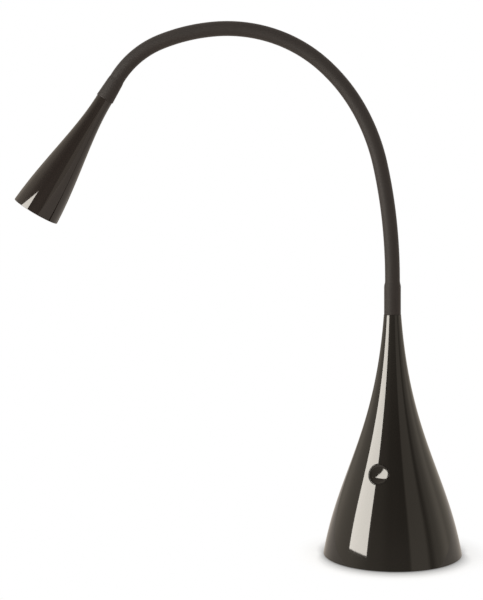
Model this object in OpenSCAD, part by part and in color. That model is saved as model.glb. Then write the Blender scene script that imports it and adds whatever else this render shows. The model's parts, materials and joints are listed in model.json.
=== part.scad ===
// Gooseneck desk lamp: a trumpet-shaped weighted base with a push button, a
// bendable steel neck in a rubber sleeve, and a slim trumpet-shaped LED head.
// Millimetres. The origin is the centre of the foot pad's underside, +Z is up,
// the head reaches towards -X and the button faces -Y.

/* [Base shell] */
// Diameter of the base at its foot
base_d = 110; // [104:1:120]
// Height of the base shell's slim top above the table
base_top_z = 190.5; // [185:0.5:205]
// Diameter of the base shell at its slim top
base_top_d = 13.8; // [13.4:0.1:14.8]
// Gap between the shell's lower edge and the table
foot_gap = 0.6; // [0.3:0.1:1]
// Wall thickness of the base shell
base_wall = 2.2; // [1.8:0.1:2.6]
// How far the foot's straight rise reaches into the flare
foot_pull = 64.5; // [58:0.5:70]
// Lean of the shell's side at the foot, in degrees
foot_lean = 10; // [7:0.5:13]
// How far the slim top's straight run reaches into the flare
top_pull = 97; // [90:1:102]
// Lean of the shell's side at its slim top, in degrees
top_lean = 4.3; // [3:0.1:5]
// Length of the solid neck of the shell that the ferrule passes through
base_socket_len = 40; // [36:1:46]

/* [Foot and ballast] */
// Diameter of the soft foot pad
pad_d = 100; // [94:1:102]
// Thickness of the foot pad
pad_t = 1.5; // [1:0.1:2.5]
// Thickness of the steel bottom plate
plate_t = 2; // [1.6:0.1:2.6]
// Height of the iron ballast
ballast_h = 14; // [10:1:16]
// Gap between the ballast and the shell's wall
ballast_gap = 1.2; // [0.8:0.1:2]
// Radius of the circle that the three screw posts stand on
post_ring_r = 30; // [27:0.5:33]
// Diameter of each screw post
post_d = 8; // [7:0.5:10]
// Length of the base screws
base_screw_len = 26; // [24:1:28]

/* [Push button] */
// Height of the button's centre above the table
button_z = 69.5; // [66:0.5:72]
// Angle of the button from the lamp's front, towards the head side
button_turn = 22; // [10:0.5:30]
// Diameter of the button
button_d = 16; // [14.5:0.5:17]
// Gap round the button
button_gap = 0.25; // [0.15:0.05:0.4]
// Depth of the dished face at its centre
dish_depth = 1.8; // [1.4:0.1:2.2]
// Travel of the button when it is pressed
button_travel = 2; // [1.5:0.1:2.5]
// Distance of the circuit board behind the shell's surface
board_depth = 19; // [18:0.5:20]
// Width of the circuit board
board_w = 22; // [20:1:24]
// Length of the circuit board
board_len = 38; // [36:1:40]

/* [Neck] */
// Outer diameter of the neck's rubber sleeve
neck_d = 11.9; // [11.7:0.1:12.2]
// Wall thickness of the rubber sleeve
sleeve_wall = 1.35; // [1.2:0.05:1.4]
// Wall thickness of the bendable steel core
core_wall = 1.5; // [1.2:0.1:1.6]
// Length of each of the neck's eight bending lengths
neck_seg_len = 46.2; // [44:0.2:52]
// Diameter of the two-core lead inside the neck
lead_d = 5.4; // [4.8:0.1:5.6]
// Diameter of the sleeve's collar over the lower ferrule
collar_d = 13.4; // [13:0.1:13.7]
// Length of the collar's straight part
collar_len = 21.9; // [18:0.1:26]
// Length of the collar's taper down to the sleeve
collar_taper = 4.9; // [3:0.1:7]
// Gap round the round end of each neck length
ball_gap = 0.3; // [0.2:0.05:0.4]

/* [Lamp head] */
// Length of the head shell along its own axis
head_len = 105; // [101:0.5:109]
// Diameter of the head shell at its mouth
head_mouth_d = 38.4; // [37:0.1:41]
// Diameter of the head shell at its slim end
head_top_d = 13.4; // [13.2:0.1:14.2]
// Wall thickness of the head shell
head_wall = 1.8; // [1.5:0.1:2]
// How far the slim end's straight run reaches into the flare
head_top_pull = 31.6; // [28:0.2:34]
// How far the mouth's straight run reaches into the flare
mouth_pull = 39; // [36:0.5:42]
// Lean of the shell's side at its mouth, in degrees
mouth_lean = 3.7; // [2:0.1:5]
// Length of the solid part that the upper ferrule passes through
head_socket_len = 34; // [33:0.5:37]
// Length of the sleeve's end over the upper ferrule
head_sleeve_len = 19; // [17:0.5:22]
// Diameter of the sleeve's end where it meets the head
head_sleeve_d = 14.4; // [14:0.1:14.6]
// Number of cooling fins on the heat sink
fin_count = 5; // [3:1:6]
// Thickness of each cooling fin
fin_t = 1.4; // [1:0.1:1.8]
// Diameter of the LED's circuit board
led_board_d = 23; // [22:0.5:24]
// Depth of the front lens behind the mouth's edge
lens_depth = 3.6; // [3:0.1:3.9]
// Thickness of the front lens
lens_t = 1.8; // [1.2:0.1:2.4]
// Depth of the reflector bowl
reflector_len = 14; // [12:0.5:15]

/* [Cord inlet] */
// Height of the cord inlet above the table
inlet_z = 12; // [11:0.5:13]
// Diameter of the grommet's bore
inlet_bore_d = 3.8; // [3.2:0.1:4.4]

/* [Hidden] */
// Turn of each bending length at rest, in degrees, chosen by hand.
neck_turns = [6, 6.5, 16.5, 19, 23.5, 22.5, 18, 36.5];
neck_segs = len(neck_turns);
$fn = 96;

// Clearances and small sizes that several pieces share.
fit = 0.05;        // between pieces that are pushed or screwed together
sleeve_fit = 0.1;  // between the rubber sleeve and the steel core
bend_step = 0.02;  // how much slimmer a round end or a bend is than its straight tube
pad_edge = 0.4;    // bevel of the foot pad's lower edge
eps = 0.01;        // overshoot of a cut
cut = 50;          // length of a cut that goes right through
profile_steps = 36;

gloss_black = [0.10, 0.09, 0.08];
rubber_black = [0.22, 0.21, 0.20];
steel = [0.72, 0.72, 0.74];
iron = [0.30, 0.30, 0.31];
board_green = [0.10, 0.35, 0.20];

// ---- Trumpet outlines: one cubic curve each, as [radius, height] points ----
function bez(p, t) =
  pow(1 - t, 3) * p[0] + 3 * pow(1 - t, 2) * t * p[1]
  + 3 * (1 - t) * t * t * p[2] + pow(t, 3) * p[3];
function bez_dir(p, t) =
  3 * pow(1 - t, 2) * (p[1] - p[0]) + 6 * (1 - t) * t * (p[2] - p[1])
  + 3 * t * t * (p[3] - p[2]);
// A point of the curve moved inwards by the wall.
function bez_in(p, t, wall) =
  let (d = bez_dir(p, t), n = [d[1], -d[0]] / norm(d)) bez(p, t) - wall * n;
function curve(p) = [for (i = [0:profile_steps]) bez(p, i / profile_steps)];
function curve_in(p, wall) =
  [for (i = [0:profile_steps]) bez_in(p, i / profile_steps, wall)];
// Radius of a curve at a height.
function radius_at(points, z) = lookup(z, [for (q = points) [q[1], q[0]]]);

base_r = base_d / 2;
base_top_r = base_top_d / 2;
base_curve_ends = [
  [base_r, foot_gap],
  [base_r - foot_pull * tan(foot_lean), foot_gap + foot_pull],
  [base_top_r + top_pull * tan(top_lean), base_top_z - top_pull],
  [base_top_r, base_top_z]
];
base_curve = curve(base_curve_ends);
base_curve_in = curve_in(base_curve_ends, base_wall);

head_top_r = head_top_d / 2;
mouth_r = head_mouth_d / 2;
head_curve_ends = [
  [head_top_r, 0],
  [head_top_r, head_top_pull],
  [mouth_r - mouth_pull * tan(mouth_lean), head_len - mouth_pull],
  [mouth_r, head_len]
];
head_curve = curve(head_curve_ends);
head_curve_in = curve_in(head_curve_ends, head_wall);
function head_in_r(s) = radius_at(head_curve_in, s);

// ---- Foot stack, from the table up ----
plate_z = pad_t;
ballast_z = plate_z + plate_t;
ballast_top_z = ballast_z + ballast_h;
base_socket_z = base_top_z - base_socket_len;
plate_gap = 0.4;
plate_r = radius_at(base_curve_in, ballast_z) - plate_gap;
ballast_bore_r = 10;
screw_r = 1.5;        // M3
screw_head_r = 3;
screw_head_h = 1.5;
post_turns = [60, 180, 300];  // from the button's direction

// ---- Button and board, measured along the shell's normal at the button ----
button_r = button_d / 2;
button_azimuth = 270 - button_turn;
function slope_at(z) =
  atan((radius_at(base_curve, z - 2) - radius_at(base_curve, z + 2)) / 4);
button_tilt = slope_at(button_z);
guide_r = button_r + button_gap;
guide_wall = 2;
cap_len = 4.9;
guide_cut = cap_len + 10;  // reaches from behind the guide out past the shell
flange_gap = 0.3;
flange_t = 1.2;
flange_r = guide_r + guide_wall - 0.4;
flange_depth = cap_len + flange_gap;
cap_wall = 1.6;
board_t = 1.6;
switch_w = 8.5;
switch_h = 6.6;
plunger_r = 1.7;
plunger_gap = 0.2;
plunger_grip = 2.1;   // length inside the switch at rest
plunger_room = plunger_grip + button_travel + 0.5;
board_boss_r = 2.8;
terminal_back = 8.5;  // from the board's lower screws to the cord terminal
board_boss_x = board_len / 2 - 4;
board_boss_y = board_w / 2 - 3.5;
board_screw_r = 1.2;
board_screw_head_r = 2.3;
board_screw_len = 7;
plug_size = [7, 9, 6];
plug_x = -board_len / 2 + 5.5;
plug_mid = board_depth + board_t + plug_size[2] / 2;
plug_edge = plug_x - plug_size[0] / 2;
lead_grip = 3;        // length of the lead inside the connector
// The connector's upper edge as a distance from the lamp's axis and a height.
lead_out = radius_at(base_curve, button_z) - plug_mid * cos(button_tilt)
  + plug_edge * sin(button_tilt);
lead_low = button_z - plug_mid * sin(button_tilt) - plug_edge * cos(button_tilt);
// One arc takes the lead from the lamp's axis to the connector.
lead_bend_r = lead_out / (1 - cos(button_tilt));

// ---- Neck ----
neck_r = neck_d / 2;
sleeve_in_r = neck_r - sleeve_wall;
core_r = sleeve_in_r - sleeve_fit;
core_in_r = core_r - core_wall;
lead_r = lead_d / 2;
joint_ball_r = neck_r + ball_gap;
function sum_to(v, n) = n <= 0 ? 0 : v[n - 1] + sum_to(v, n - 1);
function heading(k) = sum_to(neck_turns, k);
function bend_r(k) = neck_seg_len / (neck_turns[k] * PI / 180);
// Joint k's place as [x, z]; each length is an arc, so its chord adds up.
function joint_at(k) =
  k == 0 ? [0, base_top_z + collar_len + collar_taper + 1.2]
  : let (
      chord = 2 * bend_r(k - 1) * sin(neck_turns[k - 1] / 2),
      way = heading(k - 1) + neck_turns[k - 1] / 2
    )
    joint_at(k - 1) + chord * [-sin(way), cos(way)];

// ---- Ferrules and their nuts ----
ferrule_wall = 1.1;
ferrule_r = core_r + fit + ferrule_wall;
spigot_r = 4;         // M8
spigot_hole_r = spigot_r + 0.15;
washer_t = 1.2;
washer_r = 7.2;
nut_af = 12;          // across flats
nut_h = 5;
ferrule_lip = 2;      // solid ring below the core's end
spigot_past_nut = 2;
core_start = 6;       // joint to the upper ferrule's edge

// ---- Head stack, measured from the head shell's slim end ----
lens_front = head_len - lens_depth;
lens_back = lens_front - lens_t;
reflector_back = lens_back - reflector_len;
led_board_t = 1.6;
sink_front = reflector_back - led_board_t;
sink_flange_t = 4;
sink_post_r = 5;
sink_gap = 0.15;
fin_gap = 0.6;
fin_pitch = 4.2;
led_screw_ring_r = 9;
led_screw_r = 1;
led_screw_head_r = 1.8;
led_screw_head_h = 1.2;
led_screw_len = 3.5;
led_w = 3.5;
led_t = 0.8;
led_dome_r = 1.5;
reflector_wall = 1;
reflector_r0 = 3.4;
reflector_r1 = 15;
reflector_lip_r = 16.4;
reflector_lip_t = 1;
lens_r = 16.5;
ring_t = 2.2;
ring_in_r = 15.4;
ring_gap = 0.1;

// ---- Cord inlet ----
inlet_tilt = slope_at(inlet_z);
grommet_bore_r = inlet_bore_d / 2;
grommet_r = grommet_bore_r + 1.8;
grommet_lip = 1.6;
grommet_out = 1.4;
grommet_in = 1.2;
cord_slot_w = 12;
cord_slot_r = 38;

// ---- Shared shapes ----
module tube(r_out, r_in, h) {
  difference() {
    cylinder(r = r_out, h = h);
    translate([0, 0, -eps]) cylinder(r = r_in, h = h + 2 * eps);
  }
}

module revolved(points) {
  rotate_extrude() polygon(points);
}

// A rod that starts at the origin, heading +Z, and bends towards -X.
module bent_rod(bend, turn, r) {
  translate([-bend, 0, 0]) rotate([90, 0, 0])
    rotate_extrude(angle = turn, $fn = 360) translate([bend, 0]) circle(r = r);
}

// A rod along bending length k of the neck, in joint k's frame.
module arc_rod(k, r) {
  bent_rod(bend_r(k), neck_turns[k], r);
}

module at_arc_end(k) {
  translate([-bend_r(k), 0, 0]) rotate([0, -neck_turns[k], 0])
    translate([bend_r(k), 0, 0]) children();
}

module at_joint(k) {
  at = joint_at(k);
  translate([at[0], 0, at[1]]) rotate([0, -heading(k), 0]) children();
}

module at_head() {
  at_joint(neck_segs) translate([0, 0, head_sleeve_len]) children();
}

// Children's +Z is the shell's outward normal at a height and direction.
module on_shell(azimuth, z, tilt) {
  rotate([0, 0, azimuth]) translate([radius_at(base_curve, z), 0, z])
    rotate([0, 90 - tilt, 0]) children();
}

module at_button() {
  on_shell(button_azimuth, button_z, button_tilt) children();
}

module at_inlet() {
  on_shell(90, inlet_z, inlet_tilt) children();
}

module at_posts() {
  for (turn = post_turns)
    rotate([0, 0, button_azimuth + turn]) translate([post_ring_r, 0, 0]) children();
}

module at_board_screws() {
  for (side = [-1, 1])
    at_button() translate([side * board_boss_x, -side * board_boss_y, -board_depth])
      children();
}

module hex_nut() {
  difference() {
    cylinder(r = nut_af / 2 / cos(30), h = nut_h, $fn = 6);
    translate([0, 0, -eps]) cylinder(r = spigot_r + fit, h = nut_h + 2 * eps);
  }
}

// ---- Base ----
module base_solid() {
  revolved(concat([[0, foot_gap]], base_curve, [[0, base_top_z]]));
}

module base_cavity() {
  inside = [for (q = base_curve_in) if (q[1] > foot_gap && q[1] < base_socket_z) q];
  low = inside[0];
  top = inside[len(inside) - 1];
  revolved(concat(
    [[0, foot_gap - 1], [low[0] + 0.2, foot_gap - 1]], inside,
    [[top[0], base_socket_z], [0, base_socket_z]]
  ));
}

module screw_posts() {
  at_posts() {
    translate([0, 0, ballast_top_z]) cylinder(r = post_d / 2, h = base_top_z / 2);
    // A rib ties each post to the wall.
    translate([0, -1, ballast_top_z + 8]) cube([base_r, 2, base_top_z / 3]);
  }
}

module base_shell() {
  color(gloss_black) difference() {
    union() {
      difference() {
        base_solid();
        base_cavity();
      }
      intersection() {
        base_solid();
        union() {
          screw_posts();
          at_button() translate([0, 0, -cap_len]) cylinder(r = guide_r + guide_wall, h = cap_len);
          at_board_screws() cylinder(r = board_boss_r, h = board_depth);
        }
      }
    }
    translate([0, 0, base_socket_z - 1]) cylinder(r = spigot_hole_r, h = base_socket_len + 2);
    at_button() translate([0, 0, -cap_len - 1]) cylinder(r = guide_r, h = guide_cut);
    at_posts() translate([0, 0, ballast_top_z - 1])
      cylinder(r = screw_r + fit, h = base_screw_len - ballast_h - plate_t + 3);
    at_board_screws() translate([0, 0, -1])
      cylinder(r = board_screw_r + fit, h = board_screw_len);
    at_inlet() translate([0, 0, -base_wall * 3]) cylinder(r = grommet_r + fit, h = cut / 2);
  }
}

module base_weight() {
  wall_gap = base_wall / cos(foot_lean) + ballast_gap;
  color(iron) difference() {
    translate([0, 0, ballast_z]) cylinder(
      r1 = radius_at(base_curve, ballast_z) - wall_gap,
      r2 = radius_at(base_curve, ballast_top_z) - wall_gap,
      h = ballast_h
    );
    translate([0, 0, ballast_z - 1]) cylinder(r = ballast_bore_r, h = ballast_h + 2);
    at_posts() translate([0, 0, ballast_z - 1]) cylinder(r = screw_r + 0.3, h = ballast_h + 2);
    translate([-cord_slot_w / 2, cord_slot_r, ballast_z - 1])
      cube([cord_slot_w, base_r, ballast_h + 2]);
  }
}

module bottom_plate() {
  color(steel) difference() {
    translate([0, 0, plate_z]) cylinder(r = plate_r, h = plate_t);
    at_posts() {
      translate([0, 0, plate_z - 1]) cylinder(r = screw_r + fit, h = plate_t + 2);
      translate([0, 0, plate_z - eps]) cylinder(
        r1 = screw_head_r + fit, r2 = screw_r + fit, h = screw_head_h + 2 * eps
      );
    }
  }
}

module foot_pad() {
  color(rubber_black) revolved([
    [0, 0], [pad_d / 2 - pad_edge, 0], [pad_d / 2, pad_edge], [pad_d / 2, pad_t], [0, pad_t]
  ]);
}

module base_screws() {
  color(steel) at_posts() translate([0, 0, plate_z]) difference() {
    union() {
      cylinder(r1 = screw_head_r, r2 = screw_r, h = screw_head_h);
      cylinder(r = screw_r, h = base_screw_len);
    }
    // Cross recess
    for (turn = [0, 90]) rotate([0, 0, turn])
      translate([-1.6, -0.3, -eps]) cube([3.2, 0.6, 1]);
  }
}

// ---- Board, switch and button ----
module driver_board() {
  color(board_green) difference() {
    at_button() translate([-board_len / 2, -board_w / 2, -board_depth - board_t])
      cube([board_len, board_w, board_t]);
    at_board_screws() translate([0, 0, -board_t - 1])
      cylinder(r = board_screw_r + 0.2, h = board_t + 2);
  }
}

// The driver's coil, capacitor, chip and cord terminal on the board's back.
module driver_parts() {
  coil = [3.5, 5];        // radius, height
  capacitor = [2.5, 7];   // radius, height
  chip = [5, 4, 1.6];
  terminal = [4, 8, 6];
  row_x = 2;
  row_y = 6;
  color(iron) at_button() translate([0, 0, -board_depth - board_t]) mirror([0, 0, 1]) {
    translate([row_x, -row_y, 0]) cylinder(r = coil[0], h = coil[1]);
    translate([row_x, row_y, 0]) cylinder(r = capacitor[0], h = capacitor[1]);
    translate([-row_x - chip[0], row_y - chip[1] / 2, 0]) cube(chip);
    translate([board_boss_x - terminal_back, -terminal[1] / 2, 0]) cube(terminal);
  }
}

module board_screws() {
  color(steel) at_board_screws() translate([0, 0, -board_t]) {
    translate([0, 0, -1.5]) cylinder(r = board_screw_head_r, h = 1.5);
    cylinder(r = board_screw_r, h = board_screw_len);
  }
}

module lead_connector() {
  color("white") difference() {
    at_button() translate([
      plug_x - plug_size[0] / 2, -plug_size[1] / 2, -board_depth - board_t - plug_size[2]
    ]) cube(plug_size);
    base_lead_end() translate([0, 0, -lead_grip]) cylinder(r = lead_r + fit, h = cut);
  }
}

module switch_body() {
  color("dimgray") difference() {
    at_button() translate([-switch_w / 2, -switch_w / 2, -board_depth])
      cube([switch_w, switch_w, switch_h]);
    // The plunger's bore is as deep as the button travels.
    at_button() translate([0, 0, -board_depth + switch_h - plunger_room])
      cylinder(r = plunger_r + plunger_gap, h = plunger_room + 1);
  }
}

module button_cap() {
  dish_r = (button_r * button_r + dish_depth * dish_depth) / (2 * dish_depth);
  color(gloss_black) difference() {
    union() {
      intersection() {
        base_solid();
        at_button() translate([0, 0, -flange_depth]) cylinder(r = button_r, h = guide_cut);
      }
      at_button() translate([0, 0, -flange_depth - flange_t])
        cylinder(r = flange_r, h = flange_t);
    }
    at_button() translate([0, 0, dish_r - dish_depth]) sphere(r = dish_r);
    // Hollow underside
    at_button() translate([0, 0, -flange_depth - flange_t - 1])
      cylinder(r = button_r - cap_wall, h = flange_depth + flange_t + 1 - dish_depth - cap_wall);
  }
}

module switch_plunger() {
  top = dish_depth + cap_wall;
  bottom = board_depth - switch_h + plunger_grip;
  color("gainsboro") at_button() {
    translate([0, 0, -bottom]) cylinder(r = plunger_r, h = bottom - top);
    // Cross ribs that carry the cap
    for (turn = [0, 90]) rotate([0, 0, turn])
      translate([-button_r + cap_wall + fit, -0.6, -flange_depth - flange_t])
        cube([2 * (button_r - cap_wall - fit), 1.2, flange_depth + flange_t - top]);
  }
}

// ---- Cord inlet ----
module cord_grommet() {
  lip_r = grommet_r + grommet_lip;
  inner_r = grommet_r + grommet_lip * 0.6;
  color(rubber_black) at_inlet() translate([0, 0, -base_wall - grommet_in]) difference() {
    union() {
      cylinder(r = grommet_r, h = base_wall + grommet_in + grommet_out);
      cylinder(r1 = grommet_r + 0.2, r2 = inner_r, h = grommet_in - 0.3);
      translate([0, 0, grommet_in + base_wall + 0.3])
        cylinder(r1 = lip_r, r2 = grommet_r + 0.4, h = grommet_out - 0.3);
    }
    translate([0, 0, -1]) cylinder(r = grommet_bore_r, h = cut);
  }
}

// ---- Ferrules ----
// +Z points along the neck, away from the shell whose face is at 0.
module ferrule(grip_len, socket_len) {
  spigot_len = socket_len + washer_t + nut_h + spigot_past_nut;
  difference() {
    union() {
      cylinder(r = ferrule_r, h = grip_len);
      translate([0, 0, -spigot_len]) cylinder(r = spigot_r, h = spigot_len + eps);
    }
    translate([0, 0, ferrule_lip]) cylinder(r = core_r + fit, h = grip_len);
    translate([0, 0, -spigot_len - 1]) cylinder(r = core_in_r, h = spigot_len + cut);
  }
}

module lower_ferrule() {
  color(steel) translate([0, 0, base_top_z]) ferrule(collar_len, base_socket_len);
}

module ferrule_washer() {
  color(steel) translate([0, 0, base_socket_z - washer_t])
    tube(washer_r, spigot_hole_r, washer_t);
}

module ferrule_nut() {
  color(steel) translate([0, 0, base_socket_z - washer_t - nut_h]) hex_nut();
}

module upper_ferrule() {
  color(steel) at_head() mirror([0, 0, 1])
    ferrule(head_sleeve_len - core_start, head_socket_len);
}

module head_washer() {
  color(steel) at_head() translate([0, 0, head_socket_len])
    tube(washer_r, spigot_hole_r, washer_t);
}

module head_nut() {
  color(steel) at_head() translate([0, 0, head_socket_len + washer_t]) hex_nut();
}

// ---- Neck: sleeve, core and lead, one solid each per bending length ----
module sleeve_collar() {
  joint_z = joint_at(0)[1];
  taper_z = base_top_z + collar_len;
  color(rubber_black) difference() {
    union() {
      revolved([
        [0, base_top_z], [collar_d / 2, base_top_z], [collar_d / 2, taper_z],
        [neck_r, taper_z + collar_taper], [neck_r, joint_z], [0, joint_z]
      ]);
      translate([0, 0, joint_z]) sphere(r = neck_r - bend_step);
    }
    translate([0, 0, base_top_z - 1]) cylinder(r = ferrule_r + fit, h = collar_len + 1 + fit);
    translate([0, 0, base_top_z]) cylinder(r = sleeve_in_r, h = joint_z - base_top_z);
    translate([0, 0, joint_z]) sphere(r = sleeve_in_r - bend_step);
  }
}

module core_foot() {
  z0 = base_top_z + ferrule_lip;
  color(steel) translate([0, 0, z0]) tube(core_r, core_in_r, joint_at(0)[1] - z0);
}

module sleeve_part(k) {
  color(rubber_black) at_joint(k) difference() {
    union() {
      arc_rod(k, neck_r);
      at_arc_end(k) sphere(r = neck_r - bend_step);
    }
    arc_rod(k, sleeve_in_r);
    at_arc_end(k) sphere(r = sleeve_in_r - bend_step);
    sphere(r = joint_ball_r);
  }
}

module core_part(k) {
  color(steel) at_joint(k) difference() {
    arc_rod(k, core_r);
    arc_rod(k, core_in_r);
    sphere(r = joint_ball_r);
  }
}

module lead_part(k) {
  color("white") at_joint(k) difference() {
    arc_rod(k, lead_r);
    sphere(r = joint_ball_r);
  }
}

module sleeve_end() {
  shoulder = core_start - 3;
  color(rubber_black) at_joint(neck_segs) difference() {
    revolved([
      [0, 0], [neck_r, 0], [neck_r + 0.4, shoulder],
      [head_sleeve_d / 2, head_sleeve_len], [0, head_sleeve_len]
    ]);
    sphere(r = joint_ball_r);
    translate([0, 0, -1]) cylinder(r = sleeve_in_r, h = head_sleeve_len);
    translate([0, 0, core_start - fit]) cylinder(r = ferrule_r + fit, h = head_sleeve_len);
  }
}

module core_end() {
  color(steel) at_joint(neck_segs) difference() {
    cylinder(r = core_r, h = head_sleeve_len - ferrule_lip);
    translate([0, 0, -1]) cylinder(r = core_in_r, h = head_sleeve_len);
    sphere(r = joint_ball_r);
  }
}

// ---- Lead inside the base: straight down, then one arc to the connector ----
// Children's +Z points back up the lead from where it enters the connector.
module base_lead_end() {
  rotate([0, 0, button_azimuth]) translate([lead_out, 0, lead_low])
    rotate([0, -button_tilt, 0]) children();
}

module base_lead() {
  bend_top_z = lead_low + lead_bend_r * sin(button_tilt);
  color("white") {
    translate([0, 0, bend_top_z]) cylinder(r = lead_r, h = joint_at(0)[1] - bend_top_z);
    rotate([0, 0, button_azimuth]) translate([0, 0, bend_top_z]) rotate([0, 180, 0])
      bent_rod(lead_bend_r, button_tilt, lead_r - bend_step);
    base_lead_end() translate([0, 0, -lead_grip]) cylinder(r = lead_r, h = lead_grip);
  }
}

module head_lead() {
  color("white") at_joint(neck_segs) difference() {
    cylinder(r = lead_r, h = head_sleeve_len + sink_front);
    sphere(r = joint_ball_r);
  }
}

// ---- Head ----
module head_shell() {
  inside = [for (q = head_curve_in) if (q[1] > head_socket_len && q[1] < head_len) q];
  low = inside[0];
  top = inside[len(inside) - 1];
  color(gloss_black) at_head() difference() {
    revolved(concat([[0, 0]], head_curve, [[0, head_len]]));
    revolved(concat(
      [[0, head_socket_len], [head_in_r(head_socket_len), head_socket_len]], inside,
      [[top[0], head_len + 1], [0, head_len + 1]]
    ));
    translate([0, 0, -1]) cylinder(r = spigot_hole_r, h = head_socket_len + 2);
  }
}

module heat_sink() {
  sink_back = sink_front - sink_flange_t - fin_count * fin_pitch;
  color(steel) at_head() difference() {
    union() {
      translate([0, 0, sink_back]) cylinder(r = sink_post_r, h = sink_front - sink_back);
      for (i = [0:fin_count - 1]) {
        s = sink_back + i * fin_pitch;
        translate([0, 0, s]) cylinder(r = head_in_r(s) - fin_gap, h = fin_t);
      }
      translate([0, 0, sink_front - sink_flange_t]) cylinder(
        r1 = head_in_r(sink_front - sink_flange_t) - sink_gap,
        r2 = head_in_r(sink_front) - sink_gap, h = sink_flange_t
      );
    }
    translate([0, 0, sink_back - 1]) cylinder(r = core_in_r, h = cut);
    at_led_screws() translate([0, 0, -led_screw_len])
      cylinder(r = led_screw_r + fit, h = led_screw_len + 1);
  }
}

// At each screw of the LED board, on the heat sink's front face.
module at_led_screws() {
  for (turn = [0, 180])
    rotate([0, 0, turn]) translate([led_screw_ring_r, 0, sink_front]) children();
}

module led_board() {
  color("white") at_head() difference() {
    translate([0, 0, sink_front]) cylinder(r = led_board_d / 2, h = led_board_t);
    at_led_screws() translate([0, 0, -1]) cylinder(r = led_screw_r + 0.2, h = led_board_t + 2);
  }
}

module led_screws() {
  color(steel) at_head() at_led_screws() {
    translate([0, 0, led_board_t]) cylinder(r = led_screw_head_r, h = led_screw_head_h);
    translate([0, 0, -led_screw_len + 0.3]) cylinder(r = led_screw_r, h = led_screw_len + led_board_t);
  }
}

module led_emitter() {
  color("khaki") at_head() translate([0, 0, reflector_back]) intersection() {
    union() {
      translate([-led_w / 2, -led_w / 2, 0]) cube([led_w, led_w, led_t]);
      translate([0, 0, led_t]) sphere(r = led_dome_r);
    }
    cylinder(r = led_w, h = led_t + led_dome_r + 1);
  }
}

// A parabolic bowl: the radius squared grows evenly with depth.
module reflector() {
  steps = 14;
  grow = (pow(reflector_r1, 2) - pow(reflector_r0, 2)) / reflector_len;
  bowl = [for (i = [0:steps])
    let (x = reflector_len * i / steps) [sqrt(grow * x + pow(reflector_r0, 2)), x]];
  outside = [for (i = [steps:-1:0]) if (bowl[i][1] < reflector_len - reflector_lip_t)
    bowl[i] + [reflector_wall, 0]];
  color("silver") at_head() translate([0, 0, reflector_back]) revolved(concat(
    bowl,
    [[reflector_lip_r, reflector_len], [reflector_lip_r, reflector_len - reflector_lip_t]],
    outside
  ));
}

module front_lens() {
  color([0.9, 0.9, 0.88, 0.6]) at_head() translate([0, 0, lens_back])
    cylinder(r = lens_r, h = lens_t);
}

module lens_ring() {
  color(gloss_black) at_head() revolved([
    [ring_in_r, lens_front],
    [head_in_r(lens_front) - ring_gap, lens_front],
    [head_in_r(lens_front + ring_t) - ring_gap, lens_front + ring_t],
    [ring_in_r + 0.8, lens_front + ring_t],
    [ring_in_r, lens_front + ring_t - 0.8]
  ]);
}

base_shell();
base_weight();
bottom_plate();
foot_pad();
base_screws();
lower_ferrule();
ferrule_washer();
ferrule_nut();
sleeve_collar();
core_foot();
base_lead();
driver_board();
driver_parts();
board_screws();
lead_connector();
switch_body();
cord_grommet();
button_cap();
switch_plunger();
for (i = [1:neck_segs]) {
  sleeve_part(i - 1);
  core_part(i - 1);
  lead_part(i - 1);
}
sleeve_end();
core_end();
upper_ferrule();
head_washer();
head_nut();
head_lead();
head_shell();
heat_sink();
led_board();
led_screws();
led_emitter();
reflector();
front_lens();
lens_ring();
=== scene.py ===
# %% [markdown]
# # A gooseneck desk lamp
# This notebook dresses a small reading lamp: a glossy trumpet-shaped base, a long
# bendable neck in a matt rubber sleeve, and a slim glossy head with an LED inside.
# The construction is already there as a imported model, and every cell builds on it.
# All lengths are in metres, and MM turns a size in millimetres into metres.

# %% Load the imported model
import json
import math
from functools import partial

import bpy
import numpy as np
from mathutils import Matrix, Vector


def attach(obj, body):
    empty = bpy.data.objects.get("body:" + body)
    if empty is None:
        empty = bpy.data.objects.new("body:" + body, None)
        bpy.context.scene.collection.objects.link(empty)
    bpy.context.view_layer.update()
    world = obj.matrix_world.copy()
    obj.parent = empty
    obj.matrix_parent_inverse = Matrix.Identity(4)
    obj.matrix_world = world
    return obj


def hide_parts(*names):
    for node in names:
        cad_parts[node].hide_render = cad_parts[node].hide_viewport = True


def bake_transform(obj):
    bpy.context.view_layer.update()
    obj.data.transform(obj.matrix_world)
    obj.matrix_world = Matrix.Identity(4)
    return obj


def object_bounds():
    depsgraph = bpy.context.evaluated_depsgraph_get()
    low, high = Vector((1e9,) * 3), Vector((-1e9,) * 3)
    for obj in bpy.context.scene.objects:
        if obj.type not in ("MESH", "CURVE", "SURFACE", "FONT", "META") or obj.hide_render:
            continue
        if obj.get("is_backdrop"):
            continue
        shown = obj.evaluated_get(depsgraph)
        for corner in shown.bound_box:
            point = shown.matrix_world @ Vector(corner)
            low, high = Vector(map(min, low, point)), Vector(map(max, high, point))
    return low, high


MM = 0.001
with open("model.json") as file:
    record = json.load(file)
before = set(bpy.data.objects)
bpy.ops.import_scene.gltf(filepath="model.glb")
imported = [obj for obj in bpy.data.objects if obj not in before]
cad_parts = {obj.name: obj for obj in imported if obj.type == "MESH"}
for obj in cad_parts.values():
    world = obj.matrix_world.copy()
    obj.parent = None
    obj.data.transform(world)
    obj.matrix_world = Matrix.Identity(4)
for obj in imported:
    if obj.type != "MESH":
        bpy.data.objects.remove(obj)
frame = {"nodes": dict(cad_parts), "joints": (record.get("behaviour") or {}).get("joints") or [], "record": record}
cad_low, cad_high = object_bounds()
scene = bpy.context.scene
print("The packed model has", len(frame["nodes"]), "nodes")

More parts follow.
